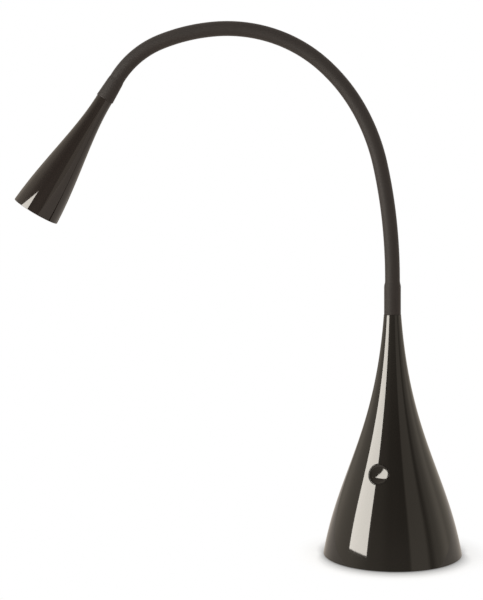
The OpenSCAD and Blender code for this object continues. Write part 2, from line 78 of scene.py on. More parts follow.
# %% [markdown]
# ## The camera
# The lamp was photographed level, from in front, with a long lens, and the picture
# was then cropped. A crop moves the point that lies straight ahead of the lens away
# from the middle of the picture. Turning the camera would tilt the upright edges, so
# the lens is shifted instead, just as far as the crop asks.

# %% Set the camera
IMAGE_SIZE = (483, 600)
FOCAL_PX = 1276
STRAIGHT_AHEAD_PX = (317.2, 214.1)
CAMERA_PLACE = (-0.0600, -1.0170, 0.2705)

lens = bpy.data.cameras.new("camera")
long_side = max(IMAGE_SIZE)
lens.sensor_width = 36
lens.lens = FOCAL_PX / long_side * lens.sensor_width
lens.shift_x = (IMAGE_SIZE[0] / 2 - STRAIGHT_AHEAD_PX[0]) / long_side
lens.shift_y = (STRAIGHT_AHEAD_PX[1] - IMAGE_SIZE[1] / 2) / long_side
camera = bpy.data.objects.new("camera", lens)
camera.location = CAMERA_PLACE
camera.rotation_euler = (math.radians(90), 0, 0)
scene.collection.objects.link(camera)
scene.camera = camera
print("The lens is", round(lens.lens, 1), "mm long")

# %% [markdown]
# ## Building node trees
# Materials, the world and the shapes below are all node trees. A tree reads best as
# a list of steps, so one helper adds a node, sets its options, and links or fills its
# inputs in a single call. A few short ones stand for the nodes that come most often.

# %% Add a node
def add(tree, kind, inputs=None, **options):
    """A new node whose inputs are linked to sockets or filled with plain values."""
    node = tree.nodes.new(kind)
    for option, value in options.items():
        setattr(node, option, value)
    for name, value in (inputs or {}).items():
        socket = node.inputs[name]
        if isinstance(value, bpy.types.NodeSocket):
            tree.links.new(value, socket)
        else:
            socket.default_value = value
    return node


def calculate(tree, operation, *values):
    """The result of a Math node; the values are sockets or numbers."""
    node = add(tree, "ShaderNodeMath", dict(enumerate(values)), operation=operation)
    return node.outputs[0]


def vectors(tree, operation, *values):
    """The result of a Vector Math node, which is a number for a length or a dot product."""
    names = (0, "Scale") if operation == "SCALE" else (0, 1)
    node = add(tree, "ShaderNodeVectorMath", dict(zip(names, values)), operation=operation)
    number = operation in ("LENGTH", "DOT_PRODUCT")
    return node.outputs["Value" if number else "Vector"]


def remap(tree, value, low, high, to_low=0.0, to_high=1.0, kind="LINEAR"):
    """A value brought from one range to another."""
    inputs = {0: value, 1: low, 2: high, 3: to_low, 4: to_high}
    return add(tree, "ShaderNodeMapRange", inputs, interpolation_type=kind).outputs[0]


def mix(tree, share, first, second):
    """A mix of two numbers."""
    return add(tree, "ShaderNodeMix", {0: share, 2: first, 3: second}).outputs[0]


def mix_colours(tree, share, first, second):
    """A mix of two colours."""
    inputs = {0: share, 6: first, 7: second}
    return add(tree, "ShaderNodeMix", inputs, data_type="RGBA").outputs[2]


def split(tree, vector):
    """The X, Y and Z of a vector."""
    return add(tree, "ShaderNodeSeparateXYZ", {0: vector}).outputs


def noise(tree, vector, scale, detail=2.0):
    """A soft noise between 0 and 1."""
    inputs = {"Vector": vector, "Scale": scale, "Detail": detail}
    return add(tree, "ShaderNodeTexNoise", inputs).outputs["Fac"]


# %% Start a node group
def new_group(name, kind, inputs, outputs):
    """An empty group, its inputs and its outputs; a socket has a type or a number."""
    tree = bpy.data.node_groups.new(name, kind)
    for in_out, sockets in (("INPUT", inputs), ("OUTPUT", outputs)):
        for label, value in sockets.items():
            typed = isinstance(value, str)
            socket_type = f"NodeSocket{value if typed else 'Float'}"
            socket = tree.interface.new_socket(label, in_out=in_out, socket_type=socket_type)
            if not typed:
                socket.default_value = value
    return tree, add(tree, "NodeGroupInput").outputs, add(tree, "NodeGroupOutput").inputs


# %% [markdown]
# ## The studio
# The lamp stands in a white room that is dark behind the camera. A softbox on the
# left draws the bright strip down the black plastic. A gloss surface shows the shape
# of a light, and a matt one only feels its strength, so each panel is a pair: one lamp
# that only reflections see, and one that only lights. Area lamps need no drawing, and
# their edges stay sharp. Each panel faces a point near the lamp and can lean sideways.

# %% Place the lamps
WARM_LIGHT = (1.0, 0.950, 0.865)
PANELS = {
    # name: (centre, aim, lean in degrees, size, seen glow, light)
    "left_softbox": (
        (-0.619, -0.3115, 0.2895), (0.0, -0.07, 0.163), 3.9, (0.446, 0.400), 12.8, 2.6,
    ),
    "right_panel": ((0.72, -0.98, 0.70), (0.0, 0.0, 0.70), 0.0, (0.55, 1.6), 0.0, 0.9),
    "top_panel": ((-0.19, -1.08, 1.30), (0.0, 0.0, 0.15), 0.0, (0.9, 0.7), 0.0, 1.6),
}


def panel(name, centre, aim, lean, size, glow, light):
    """A soft panel that faces a point; lean turns it in its own plane."""
    facing = (Vector(aim) - Vector(centre)).to_track_quat("-Z", "Y").to_matrix().to_4x4()
    stand = Matrix.Translation(centre) @ facing @ Matrix.Rotation(math.radians(lean), 4, "Z")
    for part, radiance in (("seen", glow), ("lighting", light)):
        if radiance == 0:
            continue
        data = bpy.data.lights.new(f"{name}_{part}", "AREA")
        data.shape = "RECTANGLE"
        data.size, data.size_y = size
        data.energy = radiance * math.pi * size[0] * size[1]
        data.color = WARM_LIGHT
        lamp = bpy.data.objects.new(f"{name}_{part}", data)
        lamp.matrix_world = stand
        lamp.visible_camera = False
        lamp.visible_glossy = part == "seen"
        lamp.visible_transmission = part == "seen"
        lamp.visible_diffuse = part == "lighting"
        scene.collection.objects.link(lamp)
        print(lamp.name, "is", size[0], "by", size[1], "m")


for name, values in PANELS.items():
    panel(name, *values)

# %% [markdown]
# ## The white room
# The world is plain white where the camera looks. Reflections see it in soft upright
# bands, which stand for the walls, the flags and the stands of a studio: darkest in
# front, where the camera is, and paler to both sides. That keeps black plastic black
# and still shows how it curves. What is left of the world lights the lamp softly.

# %% Build the world
ROOM_LIGHT = 0.55
ROOM_TONE = (1.0, 0.89, 0.74)
LOW_GLOW = 0.14
LOW_GLOW_TOP = 0.5
WHITE = (1, 1, 1, 1)
ROOM_BANDS = [
    (-180, 0.36), (-158, 0.34), (-126, 0.76), (-82, 0.80), (-34, 0.34),
    (-6, 0.20), (24, 0.17), (30, 0.60), (55, 0.62), (64, 0.22),
    (78, 0.58), (102, 0.98), (114, 0.68), (146, 0.74), (180, 0.30),
]

world = bpy.data.worlds.new("white_room")
world.use_nodes = True
scene.world = world
tree = world.node_tree
tree.nodes.clear()
path = add(tree, "ShaderNodeLightPath").outputs
way = add(tree, "ShaderNodeTexCoord").outputs["Generated"]
compass = split(tree, way)
forward = calculate(tree, "MULTIPLY", compass["Y"], -1.0)
heading = calculate(tree, "ARCTAN2", compass["X"], forward)
turn = remap(tree, heading, -math.pi, math.pi)
bands = add(tree, "ShaderNodeValToRGB", {0: turn})
ramp = bands.color_ramp
ramp.interpolation = "EASE"
while len(ramp.elements) < len(ROOM_BANDS):
    ramp.elements.new(0.5)
for stop, (degrees, value) in zip(ramp.elements, ROOM_BANDS):
    stop.position = (degrees + 180) / 360
    stop.color = (*[value * tone for tone in ROOM_TONE], 1)
low = remap(tree, compass["Z"], LOW_GLOW_TOP, 0.0, 0.0, LOW_GLOW, "SMOOTHSTEP")
low = calculate(tree, "MULTIPLY", low, calculate(tree, "MAXIMUM", forward, 0.0))
glow = vectors(tree, "SCALE", ROOM_TONE, low)
reflected = vectors(tree, "ADD", bands.outputs[0], glow)
mirrored = calculate(tree, "MAXIMUM", path["Is Glossy Ray"], path["Is Transmission Ray"])
colour = mix_colours(tree, mirrored, (*[ROOM_LIGHT] * 3, 1), reflected)
colour = mix_colours(tree, path["Is Camera Ray"], colour, WHITE)
white = add(tree, "ShaderNodeBackground", {"Color": colour, "Strength": 1.0})
add(tree, "ShaderNodeOutputWorld", {"Surface": white.outputs[0]})
scene.view_settings.view_transform = "Standard"
print("The room has", len(ROOM_BANDS), "bands")

# %% [markdown]
# ## The floor
# The floor has to melt into the white background, yet keep a soft shadow that hugs
# the foot. It is a white matt sheet near the lamp, lifted a little towards white, and
# the lamps cast their own shadow on it. Round the foot a painted shadow darkens its
# colour and its lift. It fades out a short way from the foot, further in front and
# behind than at the sides, and beyond it the floor is plain white, so that no edge of
# it shows. The plastic mirrors the floor in a warmer tone.

# %% Lay the floor
FLOOR_REACH = 1.2
corners = [(-FLOOR_REACH, -FLOOR_REACH, 0), (FLOOR_REACH, -FLOOR_REACH, 0)]
corners += [(FLOOR_REACH, FLOOR_REACH, 0), (-FLOOR_REACH, FLOOR_REACH, 0)]
floor_mesh = bpy.data.meshes.new("floor")
floor_mesh.from_pydata(corners, [], [range(4)])
floor = bpy.data.objects.new("floor", floor_mesh)
scene.collection.objects.link(floor)
floor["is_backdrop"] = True
print("The floor is", 2 * FLOOR_REACH, "m wide")

# %% Paint the floor
FLOOR_TONE = 0.80
FLOOR_LIFT = 0.45
FLOOR_GLOW = 0.25
MIRRORED_TONE = (0.80, 0.72, 0.64, 1)
FOOT_RADIUS = 54.6 * MM
PAINTED_SHADOW_SIDE = 5.5 * MM
PAINTED_SHADOW_FRONT = 22 * MM
PAINTED_SHADOW_DEPTH = 0.50
PAINTED_SHADOW_POWER = 1.6
SHADE_NEAR = 0.060
SHADE_FAR = 0.085

paint = bpy.data.materials.new("floor_white")
paint.use_nodes = True
tree = paint.node_tree
tree.nodes.clear()
path = add(tree, "ShaderNodeLightPath").outputs
place = add(tree, "ShaderNodeTexCoord").outputs["Object"]
away = vectors(tree, "LENGTH", place)
fade = remap(tree, away, SHADE_NEAR, SHADE_FAR, kind="SMOOTHSTEP")
# painted shadow: the floor is darker the nearer it lies to the foot, and the dark band is wider in front and
# behind than at the sides
depth = calculate(tree, "ABSOLUTE", split(tree, place)["Y"])
in_front = calculate(tree, "DIVIDE", depth, away)
width = mix(tree, in_front, PAINTED_SHADOW_SIDE, PAINTED_SHADOW_FRONT)
gone = calculate(tree, "DIVIDE", calculate(tree, "SUBTRACT", away, FOOT_RADIUS), width)
left = remap(tree, gone, 0.0, 1.0, 1.0, 0.0)
painted_shadow = calculate(tree, "MULTIPLY", calculate(tree, "POWER", left, PAINTED_SHADOW_POWER), -PAINTED_SHADOW_DEPTH)
painted_brightness = calculate(tree, "ADD", painted_shadow, 1.0)
# the painted shadow darkens both the floor's matt colour and its lift towards white
tone = add(tree, "ShaderNodeCombineXYZ", {"X": painted_brightness, "Y": painted_brightness, "Z": painted_brightness}).outputs[0]
white = vectors(tree, "SCALE", tone, FLOOR_TONE)
matt = add(tree, "ShaderNodeBsdfDiffuse", {"Color": white}).outputs[0]
lift_strength = calculate(tree, "MULTIPLY", painted_brightness, FLOOR_LIFT)
lift = add(tree, "ShaderNodeEmission", {"Strength": lift_strength}).outputs[0]
plain = add(tree, "ShaderNodeEmission", {"Strength": 1.0}).outputs[0]
near = add(tree, "ShaderNodeAddShader", {0: matt, 1: lift}).outputs[0]
shown = add(tree, "ShaderNodeMixShader", {0: fade, 1: near, 2: plain}).outputs[0]
warm = add(tree, "ShaderNodeBsdfDiffuse", {"Color": MIRRORED_TONE}).outputs[0]
mirrored = calculate(tree, "MULTIPLY", path["Is Glossy Ray"], FLOOR_GLOW)
shine = {"Color": MIRRORED_TONE, "Strength": mirrored}
shine = add(tree, "ShaderNodeEmission", shine).outputs[0]
unseen = add(tree, "ShaderNodeAddShader", {0: warm, 1: shine}).outputs[0]
surface = add(tree, "ShaderNodeMixShader", {0: path["Is Camera Ray"], 1: unseen, 2: shown})
add(tree, "ShaderNodeOutputMaterial", {"Surface": surface.outputs[0]})
floor_mesh.materials.append(paint)
print("The shadow on the floor reaches", round(PAINTED_SHADOW_FRONT / MM), "mm from the foot")

# %% [markdown]
# ## Shared effects
# Every finish on the lamp has fine grain, a little dust on what faces up, and edges
# that handling has polished. Each effect is a group of nodes with named inputs, made
# once here and placed in the materials with their own values.

# %% Build the grain group
def grain_group():
    """Two sizes of noise on the piece: a fine height, and a slow change of tone."""
    tree, inputs, outputs = new_group(
        "surface_grain",
        "ShaderNodeTree",
        {"Vector": "Vector", "Fine Scale": 2500.0, "Slow Scale": 30.0, "Detail": 3.0},
        {"Height": "Float", "Tone": "Float"},
    )
    fine = noise(tree, inputs["Vector"], inputs["Fine Scale"], inputs["Detail"])
    slow = noise(tree, inputs["Vector"], inputs["Slow Scale"])
    tree.links.new(fine, outputs["Height"])
    tree.links.new(slow, outputs["Tone"])
    return tree


surface_grain = grain_group()

# %% Build the dust group
PATCH_SCALE = 60.0


def dust_group():
    """Specks of dust that gather where the surface faces up."""
    tree, inputs, outputs = new_group(
        "settled_dust",
        "ShaderNodeTree",
        {"Vector": "Vector", "Amount": 0.1, "Speck Scale": 900.0},
        {"Mask": "Float"},
    )
    normal = add(tree, "ShaderNodeNewGeometry").outputs["Normal"]
    facing = remap(tree, split(tree, normal)["Z"], 0.0, 0.9, 0.15, 1.0)
    cells = {"Vector": inputs["Vector"], "Scale": inputs["Speck Scale"]}
    specks = add(tree, "ShaderNodeTexVoronoi", cells).outputs["Distance"]
    mask = remap(tree, specks, 0.05, 0.16, 1.0, 0.0)
    gathered = remap(tree, noise(tree, inputs["Vector"], PATCH_SCALE), 0.5, 0.75)
    for share in (gathered, facing, inputs["Amount"]):
        mask = calculate(tree, "MULTIPLY", mask, share)
    tree.links.new(mask, outputs["Mask"])
    return tree


settled_dust = dust_group()

# %% Build the edge group
WEAR_SCALE = 400.0


def edge_group():
    """A mask of the sharp edges, broken up by noise, for polish and wear."""
    tree, inputs, outputs = new_group(
        "worn_edges",
        "ShaderNodeTree",
        {"Vector": "Vector", "Amount": 0.3, "Width": 0.5 * MM},
        {"Mask": "Float"},
    )
    rounded = add(tree, "ShaderNodeBevel", {"Radius": inputs["Width"]}, samples=4)
    flat = add(tree, "ShaderNodeNewGeometry").outputs["Normal"]
    same = vectors(tree, "DOT_PRODUCT", rounded.outputs["Normal"], flat)
    mask = remap(tree, same, 0.98, 0.80)
    for share in (noise(tree, inputs["Vector"], WEAR_SCALE), inputs["Amount"]):
        mask = calculate(tree, "MULTIPLY", mask, share)
    tree.links.new(mask, outputs["Mask"])
    return tree


worn_edges = edge_group()

# %% [markdown]
# ## A finish from a few numbers
# The materials differ mainly in a handful of values: two tones, two roughnesses, the
# size and depth of the grain, and how much dust and wear they show. One function
# builds the shader from those values, and plain shader inputs such as metal, sheen
# and the index of refraction are set straight on the shader itself.

# %% Build a finish
DUST_TONE = (0.45, 0.43, 0.40, 1)
DUST_ROUGH = 0.9
WORN_GAIN = 1.6
WORN_LIFT = 0.03


def finish(name, tones, rough, grain, dust=0.1, wear=0.2, stretch=(1, 1, 1), **plain):
    """A Principled material; grain is (fine scale, slow scale, depth in metres)."""
    material = bpy.data.materials.new(name)
    material.use_nodes = True
    tree = material.node_tree
    shader = tree.nodes["Principled BSDF"]
    place = add(tree, "ShaderNodeTexCoord").outputs["Object"]
    group = partial(add, tree, "ShaderNodeGroup")
    vector = add(tree, "ShaderNodeMapping", {"Vector": place, "Scale": stretch}).outputs[0]
    scales = {"Vector": vector, "Fine Scale": grain[0], "Slow Scale": grain[1]}
    marks = group(scales, node_tree=surface_grain).outputs
    specks = group({"Vector": place, "Amount": dust}, node_tree=settled_dust).outputs["Mask"]
    polish = group({"Vector": place, "Amount": wear}, node_tree=worn_edges).outputs["Mask"]
    colour = mix_colours(tree, marks["Tone"], (*tones[0], 1), (*tones[1], 1))
    worn = [min(1, WORN_GAIN * (a + b) / 2 + WORN_LIFT) for a, b in zip(*tones)]
    colour = mix_colours(tree, polish, colour, (*worn, 1))
    colour = mix_colours(tree, specks, colour, DUST_TONE)
    tree.links.new(colour, shader.inputs["Base Color"])
    blur = mix(tree, specks, mix(tree, marks["Tone"], *rough), DUST_ROUGH)
    tree.links.new(blur, shader.inputs["Roughness"])
    bump = add(tree, "ShaderNodeBump", {"Height": marks["Height"], "Distance": grain[2]})
    tree.links.new(bump.outputs["Normal"], shader.inputs["Normal"])
    for socket, value in plain.items():
        shader.inputs[socket.replace("_", " ")].default_value = value
    return material


# %% [markdown]
# ## The finishes
# The shells are injection-moulded ABS, polished in the tool: nearly black, slightly
# warm, and as smooth as glass. The head is a shade browner than the base, as the
# photograph shows. The sleeve is matt silicone rubber, whose fine grain spreads the
# light evenly. The hidden pieces get plain workshop finishes.

# %% Mix the finishes that show
GLOSS = {"rough": (0.035, 0.055), "grain": (260, 14, 1.2e-6), "dust": 0.25, "wear": 0.15}
finishes = {
    "gloss_black": finish(
        "gloss_black_plastic",
        ((0.0085, 0.0070, 0.0056), (0.0115, 0.0098, 0.0080)),
        **GLOSS,
        IOR=1.54,
    ),
    "gloss_black_head": finish(
        "gloss_brown_black_plastic",
        ((0.0150, 0.0102, 0.0088), (0.0185, 0.0134, 0.0115)),
        **GLOSS,
        IOR=1.54,
    ),
    "sleeve_rubber": finish(
        "matt_rubber",
        ((0.0275, 0.0223, 0.0200), (0.0335, 0.0277, 0.0250)),
        rough=(0.60, 0.72),
        grain=(3200, 45, 1e-5),
        dust=0.08,
        wear=0.15,
        Sheen_Weight=0.22,
        Sheen_Roughness=0.45,
        Sheen_Tint=(1.0, 0.9, 0.86, 1),
        IOR=1.33,
    ),
    "lens": finish(
        "clear_lens",
        ((0.93, 0.94, 0.94), (0.97, 0.97, 0.97)),
        rough=(0.03, 0.06),
        grain=(500, 40, 1e-6),
        wear=0.0,
        Transmission_Weight=1.0,
        IOR=1.49,
    ),
}
print("Mixed", len(finishes), "finishes")

# %% Mix the workshop finishes
WORKSHOP = {
    # slot: (name, first tone, second tone, rough, grain, other values)
    "foot_rubber": (
        "foot_rubber", (0.020, 0.019, 0.018), (0.030, 0.028, 0.027),
        (0.75, 0.9), (1800, 60, 6e-5), {"IOR": 1.5},
    ),
    "steel": (
        "turned_steel", (0.52, 0.52, 0.53), (0.60, 0.60, 0.60),
        (0.25, 0.38), (1500, 80, 1e-5), {"stretch": (1, 1, 6), "Metallic": 1.0},
    ),
    "ballast_iron": (
        "cast_iron", (0.055, 0.052, 0.050), (0.085, 0.080, 0.075),
        (0.65, 0.85), (700, 40, 1.5e-4), {"Metallic": 0.6},
    ),
    "sink_aluminium": (
        "milled_aluminium", (0.62, 0.62, 0.63), (0.70, 0.70, 0.71),
        (0.30, 0.42), (1400, 60, 1.2e-5), {"stretch": (1, 8, 1), "Metallic": 1.0},
    ),
    "reflector_aluminium": (
        "bright_aluminium", (0.80, 0.80, 0.80), (0.86, 0.86, 0.86),
        (0.08, 0.14), (600, 60, 1.5e-5), {"Metallic": 1.0},
    ),
    "lead_jacket": (
        "lead_jacket", (0.60, 0.59, 0.56), (0.68, 0.67, 0.64),
        (0.45, 0.55), (1500, 60, 1e-5), {},
    ),
    "board": (
        "green_board", (0.012, 0.075, 0.035), (0.020, 0.100, 0.045),
        (0.28, 0.40), (2500, 300, 1e-5), {},
    ),
    "led_board": (
        "white_board", (0.74, 0.74, 0.72), (0.80, 0.80, 0.78),
        (0.30, 0.40), (1500, 100, 5e-6), {},
    ),
    "electronics": (
        "moulded_electronics", (0.030, 0.030, 0.032), (0.045, 0.045, 0.048),
        (0.45, 0.60), (2200, 120, 2e-5), {},
    ),
    "connector": (
        "natural_nylon", (0.62, 0.60, 0.54), (0.70, 0.68, 0.62),
        (0.40, 0.50), (1500, 80, 1e-5), {},
    ),
    "emitter": (
        "led_phosphor", (0.72, 0.55, 0.12), (0.80, 0.62, 0.16),
        (0.25, 0.35), (3000, 200, 5e-6), {},
    ),
}
for slot, (name, first, second, rough, grain, plain) in WORKSHOP.items():
    finishes[slot] = finish(name, (first, second), rough, grain, **plain)
for part in frame["record"]["subparts"]:
    node = frame["nodes"][part["node"]]
    node.data.materials.clear()
    node.data.materials.append(finishes[part["material_slot"]])
print("There are", len(finishes), "finishes in all")

# %% [markdown]
# ## Nets
# Both trumpets and the neck are walls that close round on themselves, so they share
# one construction. A net is a flat grid whose points say how far round they are, how
# far along, and how deep in the wall. Its rows run up the outside, round the rim,
# back down the inside and round the other rim, so that the wall is closed. A tree of
# Geometry Nodes then wraps the net round an outline or along a path.

# %% Make a net
RIM_TURNS = np.linspace(0, math.pi / 2, 4)[1:]


def rim(edge, wall):
    """How far short of the end, and how deep in the wall, a rounded rim's rows lie."""
    return edge * (1 - np.sin(RIM_TURNS)), edge * (1 - np.cos(RIM_TURNS)) / wall


def wall_rows(along, inner, wall, edge, ends=(0.0, 1.0), soft=(True, True)):
    """Rows (along, depth share) of a closed wall; soft says which rims are rounded."""
    drop, deep = rim(edge, wall)
    rows = [(x, 0.0) for x in along]
    if soft[1]:
        rows += zip(ends[1] - drop, deep)
    rows += [(x, 1.0) for x in inner[::-1]]
    if soft[0]:
        rows += zip(ends[0] + drop[::-1], deep[::-1])
    return np.array(rows)


def stepped(marks, steps):
    """Values from the first mark to the last, with about the given step between marks."""
    runs = []
    for low, high, step in zip(marks, marks[1:], steps):
        count = max(2, round((high - low) / step))
        runs.append(np.linspace(low, high, count, endpoint=False))
    return np.concatenate([*runs, [marks[-1]]])


def closed_net(turns, rows):
    """Points (turn, along, depth) of a net, and the corners of its four-sided faces."""
    points = np.empty((len(rows), len(turns), 3))
    points[:, :, 0] = turns[None, :]
    points[:, :, 1:] = rows[:, None, :]
    corner = np.arange(points.shape[0] * points.shape[1]).reshape(points.shape[:2])
    right = np.roll(corner, -1, axis=1)
    above = np.roll(corner, -1, axis=0)
    across = np.roll(right, -1, axis=0)
    return points, np.stack([corner, right, across, above], axis=-1)


# %% Run a tree on a net
STORED = (("wall_direction", "FLOAT_VECTOR"), ("wall_depth", "FLOAT"))
CREASE = math.radians(35)


def wrap(name, tree, points, faces, inputs, exact=True):
    """The plain mesh that a tree makes from a net; exact keeps the wall's true directions."""
    used, corners = np.unique(faces.reshape(-1, 4), return_inverse=True)
    flat = points.reshape(-1, 3)[used]
    net = bpy.data.meshes.new("net")
    net.from_pydata(flat.tolist(), [], corners.reshape(-1, 4).tolist())
    carrier = bpy.data.objects.new("net", net)
    scene.collection.objects.link(carrier)
    modifier = carrier.modifiers.new("wrap", "NODES")
    modifier.node_group = tree
    for socket in tree.interface.items_tree:
        if socket.in_out == "INPUT" and socket.name in inputs:
            modifier[socket.identifier] = inputs[socket.name]
    evaluated = carrier.evaluated_get(bpy.context.evaluated_depsgraph_get())
    mesh = bpy.data.meshes.new_from_object(evaluated)
    mesh.name = name
    carrier.modifiers.remove(modifier)
    bpy.data.objects.remove(carrier)
    bpy.data.meshes.remove(net)
    mesh.shade_smooth()
    mesh.set_sharp_from_angle(angle=CREASE)
    if exact:
        true_normals(mesh)
    return mesh


def true_normals(mesh):
    """Gives the outer and inner faces of a wall the directions that the tree stored."""
    count = len(mesh.vertices)
    outwards = np.empty(count * 3, np.float32)
    depth = np.empty(count, np.float32)
    mesh.attributes["wall_direction"].data.foreach_get("vector", outwards)
    mesh.attributes["wall_depth"].data.foreach_get("value", depth)
    corners = np.empty(len(mesh.loops), np.int32)
    mesh.loops.foreach_get("vertex_index", corners)
    deep = depth[corners].reshape(-1, 4)
    side = np.where((deep < 1e-6).all(1), 1.0, np.where((deep > 1 - 1e-6).all(1), -1.0, 0.0))
    normals = outwards.reshape(-1, 3)[corners] * np.repeat(side, 4)[:, None]
    mesh.normals_split_custom_set(normals.tolist())
    for name, _ in STORED:
        mesh.attributes.remove(mesh.attributes[name])


# %% Set a finished piece in the model
def place_piece(name, mesh, slot, stands_for=(), body=None, between=None, look=None):
    """Adds a finished mesh to the lamp, on one body, or left unparented where it lies between two."""
    piece = bpy.data.objects.new(name, mesh)
    scene.collection.objects.link(piece)
    mesh.materials.clear()
    mesh.materials.append(finishes[look or slot])
    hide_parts(*stands_for)
    if between:
        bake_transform(piece)
    else:
        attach(piece, body)
    print(name, "has", len(mesh.polygons), "faces")


# %% [markdown]
# ## Wrapping a net round a trumpet
# The base and the head are trumpets, whose outline is one cubic curve. Each end has a
# radius, a lean, and a pull that says how far the straight run at that end reaches
# into the flare. The tree samples that curve at each point's share of the way, turns
# the sample round the axis, and moves it inwards by the point's depth. It also stores
# the true direction of the wall, which keeps reflections on the gloss plastic smooth.

# %% Build the trumpet tree
BASE = {
    "Start Radius": 55 * MM,
    "Start Height": 0.6 * MM,
    "Start Pull": 64.5 * MM,
    "Start Lean": math.radians(10),
    "End Radius": 6.9 * MM,
    "End Height": 190.5 * MM,
    "End Pull": 97 * MM,
    "End Lean": math.radians(4.3),
    "Wall": 2.2 * MM,
}

OUTLINE_STEPS = 256
# what both wrapping trees hand out
WALL = {"Wall": "Geometry"}


def net_place(tree):
    """A net point's three values, and the cosine and sine of how far round it is."""
    share = split(tree, add(tree, "GeometryNodeInputPosition").outputs[0])
    angle = calculate(tree, "MULTIPLY", share["X"], 2 * math.pi)
    return share, calculate(tree, "COSINE", angle), calculate(tree, "SINE", angle)


def on_curve(tree, curve, measure, value):
    """Place and direction on a curve; the measure is Factor or Length."""
    inputs, options = {"Curves": curve, measure: value}, {"use_all_curves": False}
    kind = "GeometryNodeSampleCurve"
    return add(tree, kind, inputs, mode=measure.upper(), **options).outputs


def trumpet_tree():
    """Wraps a net (turn, share of the way, depth share) round a cubic outline."""
    inputs = {"Net": "Geometry", **BASE, "Finish": "Material"}
    tree, size, out = new_group("trumpet_wall", "GeometryNodeTree", inputs, WALL)
    math_of = partial(calculate, tree)
    first = math_of("MULTIPLY", size["Start Pull"], math_of("TANGENT", size["Start Lean"]))
    second = math_of("MULTIPLY", size["End Pull"], math_of("TANGENT", size["End Lean"]))
    first = math_of("SUBTRACT", size["Start Radius"], first)
    second = math_of("ADD", size["End Radius"], second)
    first_height = math_of("ADD", size["Start Height"], size["Start Pull"])
    second_height = math_of("SUBTRACT", size["End Height"], size["End Pull"])
    handles = {
        name: add(tree, "ShaderNodeCombineXYZ", {"X": radius, "Z": height}).outputs[0]
        for name, radius, height in (
            ("Start", size["Start Radius"], size["Start Height"]),
            ("Start Handle", first, first_height),
            ("End Handle", second, second_height),
            ("End", size["End Radius"], size["End Height"]),
        )
    }
    outline = add(
        tree,
        "GeometryNodeCurvePrimitiveBezierSegment",
        {"Resolution": OUTLINE_STEPS, **handles},
        mode="POSITION",
    ).outputs["Curve"]
    share, east, north = net_place(tree)
    sample = on_curve(tree, outline, "Factor", share["Y"])
    point, along = split(tree, sample["Position"]), split(tree, sample["Tangent"])

    def swung(radius, height):
        x = math_of("MULTIPLY", radius, east)
        y = math_of("MULTIPLY", radius, north)
        return add(tree, "ShaderNodeCombineXYZ", {"X": x, "Y": y, "Z": height}).outputs[0]

    outwards = swung(along["Z"], math_of("MULTIPLY", along["X"], -1.0))
    depth = math_of("MULTIPLY", share["Z"], math_of("MULTIPLY", size["Wall"], -1.0))
    inset = vectors(tree, "SCALE", outwards, depth)
    wrapped = vectors(tree, "ADD", swung(point["X"], point["Z"]), inset)
    add_wall(tree, size, out, outwards, share["Z"], wrapped)
    return tree


def add_wall(tree, size, out, outwards, depth, wrapped):
    """Ends a wrapping tree: stores the wall's direction and depth, then moves the net."""
    flow = size["Net"]
    for (name, kind), value in zip(STORED, (outwards, depth)):
        inputs = {"Geometry": flow, "Name": name, "Value": value}
        store = "GeometryNodeStoreNamedAttribute"
        flow = add(tree, store, inputs, data_type=kind, domain="POINT").outputs[0]
    flow = add(tree, "GeometryNodeSetPosition", {"Geometry": flow, "Position": wrapped})
    end_tree(tree, size, out["Wall"], flow.outputs[0])


def end_tree(tree, size, out, flow):
    """Makes a tree's geometry real, gives it its finish and hands it out."""
    flow = add(tree, "GeometryNodeRealizeInstances", {"Geometry": flow}).outputs[0]
    inputs = {"Geometry": flow, "Material": size["Finish"]}
    tree.links.new(add(tree, "GeometryNodeSetMaterial", inputs).outputs[0], out)


trumpet_wall = trumpet_tree()

# %% [markdown]
# ## The base shell
# The shell is wide at the foot, straight for the first stretch, and then flares in to
# a slim top. Two holes break it: the large one is for the push button, and the small
# one at the back is for the cord. A hole cut through a finished mesh leaves ragged
# slivers that show in a gloss surface. So the net is bent instead: its squares round
# the hole are pushed out into rings, and the squares inside are left away.

# %% Measure the base's outline
class Outline:
    """The same cubic curve as in the tree, to find places on it."""

    def __init__(self, sizes, samples=6000):
        r0, z0 = sizes["Start Radius"], sizes["Start Height"]
        r1, z1 = sizes["End Radius"], sizes["End Height"]
        pull0, pull1 = sizes["Start Pull"], sizes["End Pull"]
        handle0 = (r0 - pull0 * math.tan(sizes["Start Lean"]), z0 + pull0)
        handle1 = (r1 + pull1 * math.tan(sizes["End Lean"]), z1 - pull1)
        ends = np.array([(r0, z0), handle0, handle1, (r1, z1)])
        t = np.linspace(0, 1, samples)[:, None]
        shares = [(1 - t) ** 3, 3 * (1 - t) ** 2 * t, 3 * (1 - t) * t**2, t**3]
        self.points = sum(share * end for share, end in zip(shares, ends))
        steps = np.linalg.norm(np.diff(self.points, axis=0), axis=1)
        self.length = steps.sum()
        self.shares = np.concatenate([[0], np.cumsum(steps)]) / self.length
        along = np.gradient(self.points, axis=0)
        self.along = along / np.linalg.norm(along, axis=1)[:, None]
        self.wall = sizes["Wall"]

    def share_at(self, height):
        """How far along the outline a height is."""
        return np.interp(height, self.points[:, 1], self.shares)

    def at(self, share):
        """Radius, height and direction along the outline at a share of the way."""
        columns = (*self.points.T, *self.along.T)
        return [np.interp(share, self.shares, column) for column in columns]

    def wrapped(self, net):
        """Places of net points (turn, share, depth), as the tree gives them."""
        radius, height, out_r, out_z = self.at(net[..., 1])
        radius = radius - net[..., 2] * self.wall * out_z
        height = height + net[..., 2] * self.wall * out_r
        angle = 2 * math.pi * net[..., 0]
        return np.stack([radius * np.cos(angle), radius * np.sin(angle), height], axis=-1)


base_outline = Outline(BASE)
print("The base's outline is", round(base_outline.length / MM, 1), "mm long")

